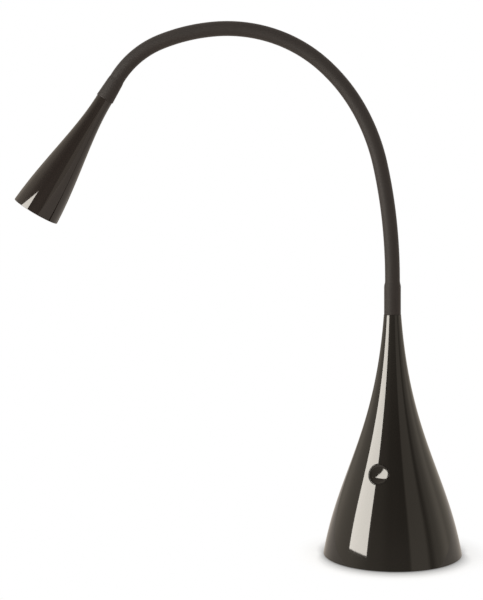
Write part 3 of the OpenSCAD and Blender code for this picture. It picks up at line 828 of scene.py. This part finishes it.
# %% Describe a hole in the base
NUDGE = 1e-5
SOLVE_STEPS = 10


def circle(radius, count):
    """Points (east, north) of a circle."""
    angles = 2 * math.pi * np.arange(count) / count
    return radius * np.stack([np.cos(angles), np.sin(angles)], axis=-1)


def all_round(east, north, count):
    """Directions all the way round an axis that stands square to east and north."""
    x, y = circle(1.0, count).T
    return x[:, None] * east + y[:, None] * north


def area(first, second):
    """The signed area between pairs of flat vectors."""
    return first[..., 0] * second[..., 1] - first[..., 1] * second[..., 0]


class Hole:
    """A round hole; its axis is the wall's own direction at its middle."""

    def __init__(self, outline, turn, height, radius, edge, reach, cells, ring):
        self.outline, self.turn, self.share = outline, turn, outline.share_at(height)
        self.radius, self.edge, self.cells, self.ring = radius, edge, cells, ring
        r, z, along_r, along_z = outline.at(self.share)
        angle = 2 * math.pi * turn
        outwards = np.array([math.cos(angle), math.sin(angle), 0])
        self.middle = outwards * r + np.array([0, 0, z])
        self.axis = outwards * along_z - np.array([0, 0, along_r])
        self.east = np.array([-math.sin(angle), math.cos(angle), 0])
        self.north = np.cross(self.axis, self.east)
        self.half_turn = reach / (2 * math.pi * r)
        self.half_share = reach / outline.length

    def seen(self, net):
        """Where net points lie when you look along the hole's axis."""
        offset = self.outline.wrapped(net) - self.middle
        return np.stack([offset @ self.east, offset @ self.north], axis=-1)

    def solve(self, net, targets):
        """Slides net points along the wall until they are seen at the targets."""
        net = net.copy()
        for _ in range(SOLVE_STEPS):
            here = self.seen(net)
            by_turn = (self.seen(net + [NUDGE, 0, 0]) - here) / NUDGE
            by_share = (self.seen(net + [0, NUDGE, 0]) - here) / NUDGE
            miss, spread = targets - here, area(by_turn, by_share)
            net[..., 0] += area(miss, by_share) / spread
            net[..., 1] += area(by_turn, miss) / spread
        return net


# %% Bend a net round its holes
def square_ring(size):
    """Steps (across, up) of a square ring of cells, anticlockwise from the right."""
    side = range(-size, size)
    steps = [(size, k) for k in side] + [(-k, size) for k in side]
    steps += [(-size, -k) for k in side] + [(k, -size) for k in side]
    return np.roll(steps, -size, axis=0)


def open_hole(points, faces, hole, turns, rows):
    """Bends the outer and inner squares round a hole; returns the two rims' corners."""
    column = int(np.argmin(abs(turns - hole.turn)))
    corner = np.arange(points.shape[0] * points.shape[1]).reshape(points.shape[:2])
    rims = []
    for layer, radius, up in ((0.0, hole.radius + hole.edge, 1), (1.0, hole.radius, -1)):
        span = np.where(rows[:, 1] == layer)[0]
        middle = span[np.argmin(abs(rows[span, 0] - hole.share))]
        for size in range(hole.ring, hole.cells):
            steps = square_ring(size)
            at = (middle + up * steps[:, 1], column + steps[:, 0])
            share = (size - hole.ring) / (hole.cells - hole.ring)
            targets = (1 - share) * circle(radius, len(steps)) + share * hole.seen(points[at])
            points[at] = hole.solve(points[at], targets)
        steps = square_ring(hole.ring)
        rims.append(corner[middle + up * steps[:, 1], column + steps[:, 0]])
        inside = np.arange(-hole.ring, hole.ring)
        low = middle + inside if up == 1 else middle - inside - 1
        faces[np.ix_(low, column + inside)] = -1
    return rims


def hole_wall(hole, rims, points):
    """The rounded edge and the wall of a hole, as more net points and faces."""
    outer, inner = rims
    count, first = len(outer), len(points)
    rings, new_points = [outer], []
    for drop, deep in zip(*rim(hole.edge, hole.outline.wall)):
        ring = points[outer].copy()
        ring[:, 2] = deep
        new_points.append(hole.solve(ring, circle(hole.radius + drop, count)))
        rings.append(np.arange(first, first + count))
        first += count
    rings.append(inner)
    faces = [
        np.stack([ring, np.roll(ring, -1), np.roll(deeper, -1), deeper], axis=-1)
        for ring, deeper in zip(rings, rings[1:])
    ]
    return np.concatenate(new_points), np.concatenate(faces)


# %% Wrap the base shell
BASE_EDGE = 0.3 * MM
BASE_ROW = 2 * MM
BASE_TURN = 1 / 180
button_hole = Hole(
    base_outline, turn=248 / 360, height=69.5 * MM, radius=8.25 * MM, edge=0.15 * MM,
    reach=15 * MM, cells=20, ring=10,
)
inlet_hole = Hole(
    base_outline, turn=0.25, height=12 * MM, radius=3.75 * MM, edge=BASE_EDGE,
    reach=8 * MM, cells=8, ring=4,
)


def base_shell():
    """The base's wall with its two holes, wrapped."""
    length, wall = base_outline.length, base_outline.wall
    edge, row = BASE_EDGE / length, BASE_ROW / length
    turn_marks, turn_steps, marks, steps = [0.0], [], [edge], []
    for hole in (inlet_hole, button_hole):
        turn_marks += [hole.turn - hole.half_turn, hole.turn + hole.half_turn]
        turn_steps += [BASE_TURN, hole.half_turn / hole.cells]
        marks += [hole.share - hole.half_share, hole.share + hole.half_share]
        steps += [row, hole.half_share / hole.cells]
    turns = stepped([*turn_marks, 1.0], [*turn_steps, BASE_TURN])[:-1]
    along = stepped([*marks, 1 - edge], [*steps, row])
    foot = wall * math.tan(BASE["Start Lean"]) / length
    inner = np.concatenate([[foot], along[2:-1], [1.0]])
    rows = wall_rows(along, inner, wall / length, edge)
    points, faces = closed_net(turns, rows)
    holes = (button_hole, inlet_hole)
    rims = [open_hole(points, faces, hole, turns, rows) for hole in holes]
    points, faces = points.reshape(-1, 3), faces.reshape(-1, 4)
    faces = [faces[faces[:, 0] >= 0]]
    for hole, pair in zip(holes, rims):
        more_points, more_faces = hole_wall(hole, pair, points)
        points = np.concatenate([points, more_points])
        faces.append(more_faces)
    inputs = {"Finish": finishes["gloss_black"], **BASE}
    return wrap("base_shell_wall", trumpet_wall, points, np.concatenate(faces), inputs)


place_piece("base_trumpet", base_shell(), "gloss_black", ["base_shell"], "base")

# %% [markdown]
# ## Turned pieces
# The button's cap, the grommet and the lens ring are round too, but small enough to
# skin directly: rings of points, joined side by side. A corner of a turned outline is
# given as a radius, a height and the roundness of that corner.

# %% Skin rings of points
def skin(name, rings, cyclic=False, crease=30):
    """A mesh over rings of points; its ends close in a point, or on each other."""
    rings = np.asarray(rings)
    count, sides = rings.shape[:2]
    points = rings.reshape(-1, 3)
    corner = np.arange(count * sides).reshape(count, sides)
    below = corner if cyclic else corner[:-1]
    above = np.roll(corner, -1, axis=0) if cyclic else corner[1:]
    quads = [below, np.roll(below, -1, 1), np.roll(above, -1, 1), above]
    faces = np.stack(quads, axis=-1).reshape(-1, 4).tolist()
    if not cyclic:
        points = np.concatenate([points, [rings[0].mean(0), rings[-1].mean(0)]])
        first, last = len(points) - 2, len(points) - 1
        faces += [[b, a, first] for a, b in zip(corner[0], np.roll(corner[0], -1))]
        faces += [[a, b, last] for a, b in zip(corner[-1], np.roll(corner[-1], -1))]
    mesh = bpy.data.meshes.new(name)
    mesh.from_pydata(points.tolist(), [], faces)
    mesh.shade_smooth()
    mesh.set_sharp_from_angle(angle=math.radians(crease))
    return mesh


def rounded(corners, steps=4):
    """Outline points from corners (radius, height, roundness), each corner an arc."""
    places = np.array([corner[:2] for corner in corners], float)
    points = []
    for k, (_, _, radius) in enumerate(corners):
        at = places[k]
        if radius == 0:
            points.append(at)
            continue
        back = places[k - 1] - at
        ahead = places[(k + 1) % len(corners)] - at
        back, ahead = back / np.linalg.norm(back), ahead / np.linalg.norm(ahead)
        half = math.acos(np.clip(back @ ahead, -1, 1)) / 2
        middle = at + (back + ahead) / np.linalg.norm(back + ahead) * radius / math.sin(half)
        start = at + back * radius / math.tan(half) - middle
        end = at + ahead * radius / math.tan(half) - middle
        swing = math.pi - 2 * half
        for t in np.linspace(0, 1, steps + 1):
            share = math.sin((1 - t) * swing) * start + math.sin(t * swing) * end
            points.append(middle + share / math.sin(swing))
    return np.array(points)


def turned(profile, middle, axis, sides=96):
    """Rings of points from an outline (radius, height) turned round an axis."""
    axis = np.asarray(axis, float)
    east = np.cross([0.0, 1.0, 0.0], axis)
    east /= np.linalg.norm(east)
    around = all_round(east, np.cross(axis, east), sides)
    profile = np.asarray(profile)
    return middle + profile[:, 0, None, None] * around + profile[:, 1, None, None] * axis


# %% [markdown]
# ## The push button
# The cap fills the large hole with a hair of clearance. Its rim lies flush with the
# curved shell all the way round. Its face is a shallow dish for a fingertip, which
# leans a little, rises towards its edge and ends in a steep lip. The cap is hollow
# from below, and a flange keeps it from falling out.

# %% Model the button's cap
CAP_SIDES = 128
CAP_RADIUS = 8.0 * MM
CAP_RIM = 0.3 * MM
CAP_SKIRT = 1.6 * MM
DISH_STEPS = 41
RIM_STEPS = 11
DISH = 1.8 * MM
DISH_RISE = 1.09 * MM
DISH_LEAN = (0.038, 0.032)
LIP_POWER = 20
FLANGE_RADIUS = 9.85 * MM
FLANGE_TOP = -5.2 * MM
FLANGE_FOOT = -6.4 * MM


def cap_rows():
    """The cap's outline: radius, height, and how far a ring follows the shell and leans."""
    slope = math.atan((2 * DISH_RISE + LIP_POWER * (DISH - DISH_RISE)) / CAP_RADIUS)
    reach = CAP_RADIUS - CAP_RIM * (1 + math.sin(slope))
    lip_rise = DISH - DISH_RISE - CAP_RIM * (1 - math.cos(slope))
    rows = []
    for share in np.sin(np.linspace(0, math.pi / 2, DISH_STEPS))[1:]:
        lip = share**LIP_POWER
        height = -DISH + DISH_RISE * share**2 + lip_rise * lip
        rows.append((share * reach, height, share**2, 1 - lip))
    for turn in np.linspace(-slope, math.pi / 2, RIM_STEPS)[1:]:
        out = CAP_RADIUS - CAP_RIM + CAP_RIM * math.sin(turn)
        rows.append((out, CAP_RIM * (math.cos(turn) - 1), 1.0, 0.0))
    inner, ceiling = CAP_RADIUS - CAP_SKIRT, -DISH - CAP_SKIRT
    below = (
        (CAP_RADIUS, FLANGE_TOP), (FLANGE_RADIUS, FLANGE_TOP), (FLANGE_RADIUS, FLANGE_FOOT),
        (inner, FLANGE_FOOT), (inner, ceiling), (inner / 2, ceiling),
    )
    return rows + [(out, height, 0.0, 0.0) for out, height in below]


def button_cap(hole):
    """The cap in its hole: a leaning dish inside a steep lip that follows the shell."""
    net = np.zeros((CAP_SIDES, 3))
    net[:, 0], net[:, 1] = hole.turn, hole.share
    net = hole.solve(net, circle(CAP_RADIUS, CAP_SIDES))
    shell = (hole.outline.wrapped(net) - hole.middle) @ hole.axis
    around = all_round(hole.east, hole.north, CAP_SIDES)
    tilt = circle(1.0, CAP_SIDES) @ DISH_LEAN
    rings = []
    for out, height, follow, leaning in cap_rows()[::-1]:
        level = height + follow * shell + leaning * out * tilt
        rings.append(hole.middle + out * around + level[:, None] * hole.axis)
    return skin("button_cap_mesh", rings)


cap = button_cap(button_hole)
place_piece("button_face", cap, "gloss_black", ["button_cap"], "button")

# %% [markdown]
# ## The head
# The head is a second, slimmer trumpet, wrapped by the same tree with its own sizes.
# It is made standing upright on its slim end and then turned into place, a fixed way
# beyond the last bend of the neck.

# %% Wrap the head shell
HEAD = {
    "Start Radius": 6.7 * MM,
    "Start Height": 0.0,
    "Start Pull": 31.6 * MM,
    "Start Lean": 0.0,
    "End Radius": 19.2 * MM,
    "End Height": 105 * MM,
    "End Pull": 39 * MM,
    "End Lean": math.radians(-3.7),
    "Wall": 1.8 * MM,
}
HEAD_HEADING = math.radians(148.5)
HEAD_EDGE = 0.25 * MM
HEAD_ROWS = 90
HEAD_SIDES = 128
LAST_BEND_TO_HEAD = 19 * MM
last_bend = [Vector(j["pos_m"]) for j in frame["joints"] if j["child"] == "head"][-1]
head_axis = Vector((-math.sin(HEAD_HEADING), 0, math.cos(HEAD_HEADING)))
head_foot = last_bend + LAST_BEND_TO_HEAD * head_axis

head_outline = Outline(HEAD)
edge = HEAD_EDGE / head_outline.length
along = np.linspace(edge, 1 - edge, HEAD_ROWS)
inner = np.concatenate([[0.0], along[1:-1], [1.0]])
rows = wall_rows(along, inner, HEAD["Wall"] / head_outline.length, edge)
points, faces = closed_net(np.linspace(0, 1, HEAD_SIDES, endpoint=False), rows)
inputs = {"Finish": finishes["gloss_black_head"], **HEAD}
mesh = wrap("head_shell_wall", trumpet_wall, points, faces, inputs)
mesh.transform(Matrix.Translation(head_foot) @ Matrix.Rotation(-HEAD_HEADING, 4, "Y"))
look = "gloss_black_head"
place_piece("head_trumpet", mesh, "gloss_black", ["head_shell"], "head", look=look)

# %% [markdown]
# ## The path of the neck
# The neck rises out of its collar, leans over to the left and comes down into the
# head. Its path is a chain of arcs between the bends of the construction, each arc
# going on in the direction in which the one before it ended.

# %% Draw the neck's path
COLLAR_FOOT = Vector((0, 0, 190.5 * MM))
PATH_STEP = 0.25 * MM
STRAIGHT = 1e-4


def arc(start, end, heading):
    """The points after start on the arc that leaves it in a heading, and its turn."""
    chord = end - start
    turn = 2 * (math.atan2(-chord.x, chord.z) - heading)
    if turn < STRAIGHT:
        count = max(2, round(chord.length / PATH_STEP))
        return [start + chord * k / count for k in range(1, count + 1)], 0.0
    radius = chord.length / 2 / math.sin(turn / 2)
    count = max(2, round(radius * turn / PATH_STEP))
    points = []
    for k in range(1, count + 1):
        here = heading + turn * k / count
        across = radius * (math.cos(here) - math.cos(heading))
        up = radius * (math.sin(here) - math.sin(heading))
        points.append(start + Vector((across, 0, up)))
    return points, turn


def neck_path():
    """Points and lengths along the neck, and the length at which each bend lies."""
    bends = [Vector(j["pos_m"]) for j in frame["joints"] if j["name"].startswith("neck")]
    points, marks, heading = [COLLAR_FOOT], [], 0.0
    for start, end in zip([COLLAR_FOOT, *bends], [*bends, head_foot]):
        more, turn = arc(start, end, heading)
        points += more
        heading += turn
        marks.append(len(points) - 1)
    points = np.array(points)
    steps = np.linalg.norm(np.diff(points, axis=0), axis=1)
    lengths = np.concatenate([[0], np.cumsum(steps)])
    return points, lengths, [lengths[k] for k in marks[:-1]]


path_points, path_lengths, bend_lengths = neck_path()
curve = bpy.data.curves.new("neck_path", "CURVE")
curve.dimensions = "3D"
line = curve.splines.new("POLY")
line.points.add(len(path_points) - 1)
line.points.foreach_set("co", np.c_[path_points, np.ones(len(path_points))].ravel())
path_object = bpy.data.objects.new("neck_path", curve)
scene.collection.objects.link(path_object)
path_object.hide_render = True
print("The neck's path is", round(path_lengths[-1] / MM, 1), "mm long")

# %% [markdown]
# ## Wrapping the sleeve round its path
# The second tree wraps a net round the path. It looks up the point and the direction
# at each length, and a rule gives the sleeve's radius there: wide at the collar over
# the lower ferrule, plain along the neck, and widening again over the upper ferrule.
# Inside, the bore is wider where a ferrule sits. Rings can run round the outside too,
# which the smooth sleeve leaves flat, and the wound core inside it uses.

# %% Build the sleeve tree
SLEEVE_SIZES = {
    "Neck Radius": 5.95 * MM,
    "Collar Radius": 6.7 * MM,
    "Collar Length": 21.9 * MM,
    "Taper Length": 4.9 * MM,
    "Flare Start": 397.6 * MM,
    "Flare Lip": 3.0 * MM,
    "Flare Lip Radius": 6.35 * MM,
    "Flare Length": 19.0 * MM,
    "Flare Radius": 7.2 * MM,
    "Bore Radius": 4.6 * MM,
    "Ferrule Radius": 5.7 * MM,
    "Lower Ferrule": 21.95 * MM,
    "Upper Ferrule": 403.6 * MM,
    "Ring Height": 0.0,
    "Ring Pitch": 2.0 * MM,
}


def path_of(tree, size):
    """The path's own curve, inside a tree."""
    inputs = {"Object": size["Path"]}
    info = add(tree, "GeometryNodeObjectInfo", inputs, transform_space="ORIGINAL")
    return info.outputs["Geometry"]


def sleeve_tree():
    """Wraps a net (turn, length along the path, depth share) round a path."""
    inputs = {"Net": "Geometry", "Path": "Object", **SLEEVE_SIZES, "Finish": "Material"}
    tree, size, out = new_group("sleeve_wall", "GeometryNodeTree", inputs, WALL)
    math_of = partial(calculate, tree)
    path = path_of(tree, size)
    share, cosine, sine = net_place(tree)
    length = share["Y"]
    sample = on_curve(tree, path, "Length", length)

    ramp = partial(remap, tree, length)
    taper_end = math_of("ADD", size["Collar Length"], size["Taper Length"])
    taper = ramp(
        size["Collar Length"], taper_end, size["Collar Radius"], size["Neck Radius"],
        "SMOOTHSTEP",
    )
    lip_end = math_of("ADD", size["Flare Start"], size["Flare Lip"])
    lip = ramp(
        size["Flare Start"], lip_end, size["Neck Radius"], size["Flare Lip Radius"],
        "SMOOTHSTEP",
    )
    flare_end = math_of("ADD", size["Flare Start"], size["Flare Length"])
    flare = ramp(lip_end, flare_end, size["Flare Lip Radius"], size["Flare Radius"])
    end = mix(tree, math_of("GREATER_THAN", length, lip_end), lip, flare)
    outer = mix(tree, math_of("GREATER_THAN", length, size["Flare Start"]), taper, end)
    turns = math_of("DIVIDE", length, size["Ring Pitch"])
    wave = math_of("ABSOLUTE", math_of("SINE", math_of("MULTIPLY", turns, math.pi)))
    wave = math_of("MULTIPLY", math_of("SUBTRACT", wave, 1.0), size["Ring Height"])
    outer = math_of("ADD", outer, wave)
    low_seat = math_of("LESS_THAN", length, size["Lower Ferrule"])
    high_seat = math_of("GREATER_THAN", length, size["Upper Ferrule"])
    seat = math_of("MAXIMUM", low_seat, high_seat)
    bore = mix(tree, seat, size["Bore Radius"], size["Ferrule Radius"])
    radius = mix(tree, share["Z"], outer, bore)

    sideways = (0, 1, 0)
    upwards = vectors(tree, "CROSS_PRODUCT", sample["Tangent"], sideways)
    first = vectors(tree, "SCALE", sideways, cosine)
    second = vectors(tree, "SCALE", upwards, sine)
    outwards = vectors(tree, "ADD", first, second)
    wrapped = vectors(tree, "SCALE", outwards, radius)
    wrapped = vectors(tree, "ADD", sample["Position"], wrapped)
    add_wall(tree, size, out, outwards, share["Z"], wrapped)
    return tree


sleeve_wall = sleeve_tree()

# %% [markdown]
# ## The sleeve and the core
# On the real lamp the sleeve is a single tube. Here it comes in nine lengths, one for
# each bend, which meet in the middle between two bends. The wound core inside it is
# cut the same way.

# %% Share the neck out between its bends
BEND_REACH = 22.5 * MM
END_BEND_REACH = 6 * MM
LAST = len(bend_lengths) - 1
bodies = ["base", *[f"neck_{k}" for k in range(1, LAST + 1)], "head"]
middles = [(a + b) / 2 for a, b in zip(bend_lengths, bend_lengths[1:])]
starts = [0.0, *middles]
ends = [*middles, path_lengths[-1]]


def on_path(length):
    """The point of the path at a length."""
    return Vector([np.interp(length, path_lengths, column) for column in path_points.T])


def neck_span(k):
    """The two bodies that a length of the neck joins, and where its bend starts and ends."""
    reach_back = END_BEND_REACH if k == 0 else BEND_REACH
    reach_on = END_BEND_REACH if k == LAST else BEND_REACH
    bend = bend_lengths[k]
    return bodies[k], bodies[k + 1], on_path(bend - reach_back), on_path(bend + reach_on)


neck_spans = [neck_span(k) for k in range(LAST + 1)]
print("The neck has", len(neck_spans), "lengths")

# %% Wrap the sleeve and the core
NECK_STEP = 0.5 * MM
NECK_EDGE = 0.3 * MM
SEAT_STEP = 0.02 * MM
SEATS = (SLEEVE_SIZES["Lower Ferrule"], SLEEVE_SIZES["Upper Ferrule"])
SLEEVE_WALL = 1.35 * MM
SLEEVE_SIDES = 64
CORE_WALL = 1.5 * MM
CORE_SIDES = 32
CORE_INSET = 2 * MM
CORE_SIZES = {
    **SLEEVE_SIZES,
    "Neck Radius": 4.5 * MM,
    "Collar Radius": 4.5 * MM,
    "Flare Lip Radius": 4.5 * MM,
    "Flare Radius": 4.5 * MM,
    "Bore Radius": 3.0 * MM,
    "Ferrule Radius": 3.0 * MM,
    "Ring Height": 0.5 * MM,
    "Ring Pitch": 2.5 * MM,
}


def neck_length(name, slot, start, end, wall, soft, sides, sizes):
    """A closed wall round the path from start to end; soft ends have rounded edges."""
    low = start + (NECK_EDGE if soft[0] else 0.0)
    high = end - (NECK_EDGE if soft[1] else 0.0)
    along = np.linspace(low, high, max(3, round((high - low) / NECK_STEP)))
    marks = [x + d for x in SEATS for d in (-SEAT_STEP, SEAT_STEP) if start < x < end]
    inner = np.sort(np.concatenate([np.linspace(start, end, max(3, len(along) // 3)), marks]))
    rows = wall_rows(along, inner, wall, NECK_EDGE, (start, end), soft)
    points, faces = closed_net(np.linspace(0, 1, sides, endpoint=False), rows)
    inputs = {"Path": path_object, "Finish": finishes[slot], **sizes}
    return wrap(name, sleeve_wall, points, faces, inputs, exact=False)


for k, (start, end) in enumerate(zip(starts, ends)):
    soft = (k == 0, k == LAST)
    name, sizes = f"sleeve_wall_{k + 1}", SLEEVE_SIZES
    places = (start, end, SLEEVE_WALL, soft, SLEEVE_SIDES)
    mesh = neck_length(name, "sleeve_rubber", *places, sizes)
    stands_for = ["sleeve_collar" if k == 0 else f"sleeve_{k}"] + ["sleeve_end"] * (k == LAST)
    span = neck_spans[k]
    place_piece(f"neck_sleeve_{k + 1}", mesh, "sleeve_rubber", stands_for, between=span)
    low, high = max(start, CORE_INSET), min(end, path_lengths[-1] - CORE_INSET)
    name, soft, sizes = f"core_wall_{k + 1}", (False, False), CORE_SIZES
    places = (low, high, CORE_WALL, soft, CORE_SIDES)
    mesh = neck_length(name, "steel", *places, sizes)
    stands_for = ["core_foot" if k == 0 else f"core_{k}"] + ["core_end"] * (k == LAST)
    place_piece(f"neck_core_{k + 1}", mesh, "steel", stands_for, between=span)

# %% [markdown]
# ## The lead
# A two-core lead runs inside the core. A third tree cuts a stretch out of the path and
# sweeps a circle along it, one stretch for each length of the neck.

# %% Run the lead along the path
LEAD_RADIUS = 2.7 * MM
LEAD_STEP = 1.5 * MM
LEAD_SIDES = 24


def rod_tree():
    """A solid rod along part of a path."""
    inputs = {
        "Net": "Geometry", "Path": "Object", "Start": 30 * MM, "End": 400 * MM,
        "Radius": LEAD_RADIUS, "Finish": "Material",
    }
    tree, size, out = new_group("rod_on_path", "GeometryNodeTree", inputs, {"Rod": "Geometry"})
    part = add(
        tree,
        "GeometryNodeTrimCurve",
        {"Curve": path_of(tree, size), 4: size["Start"], 5: size["End"]},
        mode="LENGTH",
    ).outputs[0]
    even = {"Curve": part, "Length": LEAD_STEP}
    part = add(tree, "GeometryNodeResampleCurve", even, mode="LENGTH").outputs[0]
    ring = {"Resolution": LEAD_SIDES, "Radius": size["Radius"]}
    ring = add(tree, "GeometryNodeCurvePrimitiveCircle", ring).outputs["Curve"]
    swept = {"Curve": part, "Profile Curve": ring, "Fill Caps": True}
    rod = add(tree, "GeometryNodeCurveToMesh", swept).outputs[0]
    end_tree(tree, size, out["Rod"], rod)
    return tree


rod_on_path = rod_tree()
no_points, no_faces = np.zeros((1, 1, 3)), np.empty((0, 4), int)
for k, (start, end) in enumerate(zip(starts, ends)):
    inputs = {
        "Path": path_object,
        "Start": float(max(start, bend_lengths[0])),
        "End": float(min(end, bend_lengths[-1])),
        "Radius": LEAD_RADIUS,
        "Finish": finishes["lead_jacket"],
    }
    mesh = wrap(f"lead_rod_{k + 1}", rod_on_path, no_points, no_faces, inputs, exact=False)
    stands_for = [f"neck_lead_{k}"] * (k > 0)
    name, span = f"neck_wire_{k + 1}", neck_spans[k]
    place_piece(name, mesh, "lead_jacket", stands_for, between=span)

# %% [markdown]
# ## The mouth of the head
# The opening looks away from the camera, but the lamp is seen from all sides. A gloss
# ring holds a clear, slightly crowned lens over a bright reflector bowl.

# %% Model the lens ring
RING_RADIUS = 15.4 * MM
RING_BACK = 101.4 * MM
RING_FRONT = 103.6 * MM
RING_GAP = 0.1 * MM


def in_head(profile):
    """Rings of points from an outline given along the head's own axis."""
    return turned(profile, np.array(head_foot), np.array(head_axis))


def beside_shell(height):
    """The radius at which the ring just clears the inside of the head shell."""
    share = float(head_outline.share_at(height))
    return float(head_outline.at(share)[0]) - HEAD["Wall"] - RING_GAP


corners = [
    (RING_RADIUS, RING_BACK, 0.1 * MM),
    (RING_RADIUS, RING_FRONT, 0.8 * MM),
    (beside_shell(RING_FRONT), RING_FRONT, 0.3 * MM),
    (beside_shell(RING_BACK), RING_BACK, 0.1 * MM),
]
ring = skin("lens_ring_mesh", in_head(rounded(corners)), cyclic=True)
place_piece("bezel", ring, "gloss_black", ["lens_ring"], "head")

# %% Model the lens and the reflector
LENS_BACK = 99.6 * MM
LENS_RADIUS = 16.5 * MM
LENS_MIDDLE, LENS_EDGE = 0.06, 0.985
LENS_CROWN = 0.5 * MM
LENS_FRONT = LENS_BACK + 1.8 * MM
BOWL_BACK = 85.6 * MM
BOWL_DEPTH = 14 * MM
BOWL_RADII = (3.4 * MM, 15 * MM)
BOWL_LIP = 16.4 * MM
BOWL_WALL = 1 * MM

back = np.linspace(LENS_MIDDLE, LENS_EDGE, 12)
rows = [(share * LENS_RADIUS, LENS_BACK) for share in back]
rows.append((LENS_RADIUS, LENS_BACK + 0.2 * MM))
rows.append((LENS_RADIUS, LENS_FRONT - LENS_CROWN - 0.1 * MM))
for share in np.linspace(LENS_EDGE, LENS_MIDDLE, 16):
    rows.append((share * LENS_RADIUS, LENS_FRONT - LENS_CROWN * share**2))
lens_mesh = skin("front_lens_mesh", in_head(rows), crease=50)
place_piece("clear_lens", lens_mesh, "lens", ["front_lens"], "head")

throat, mouth = BOWL_RADII
grow = (mouth**2 - throat**2) / BOWL_DEPTH
depths = np.linspace(0, BOWL_DEPTH, 24)
bowl = [(math.sqrt(grow * x + throat**2), BOWL_BACK + x) for x in depths]
lip_front = BOWL_BACK + BOWL_DEPTH
lip_back = lip_front - BOWL_WALL
lip = [(BOWL_LIP, lip_front), (BOWL_LIP, lip_back)]
outside = [(r + BOWL_WALL, z) for r, z in bowl[::-1] if z < lip_back]
bowl_mesh = skin("reflector_mesh", in_head([*bowl, *lip, *outside]), cyclic=True)
place_piece("reflector_bowl", bowl_mesh, "reflector_aluminium", ["reflector"], "head")

# %% [markdown]
# ## The cord's inlet
# A rubber grommet lines the small hole at the back. Its lip is rounded where it lies
# on the shell, and its heights are measured from the shell's outer face.

# %% Model the grommet
inlet_corners = [
    (1.9 * MM, 1.4 * MM, 0.35 * MM),
    (1.9 * MM, -3.4 * MM, 0.2 * MM),
    (4.6 * MM, -3.4 * MM, 0.3 * MM),
    (3.9 * MM, -2.4 * MM, 0.1 * MM),
    (3.7 * MM, -2.2 * MM, 0.0),
    (3.7 * MM, 0.3 * MM, 0.0),
    (5.3 * MM, 0.3 * MM, 0.15 * MM),
    (4.3 * MM, 1.4 * MM, 0.4 * MM),
]
profile = rounded(inlet_corners)[::-1]
rings = turned(profile, inlet_hole.middle, inlet_hole.axis, sides=64)
grommet = skin("grommet_mesh", rings, cyclic=True)
place_piece("inlet_grommet", grommet, "foot_rubber", ["cord_grommet"], "base")

# %% [markdown]
# ## Sizes and the last step
# The lamp's whole box and the box of the construction are both printed.

# %% Print the sizes
new_low, new_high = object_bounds()
sizes = {
    "cad_box_m": [list(cad_low), list(cad_high)],
    "scene_box_m": [list(new_low), list(new_high)],
}
print("Construction box", [round(v, 4) for v in (*cad_low, *cad_high)])
print("Finished box", [round(v, 4) for v in (*new_low, *new_high)])
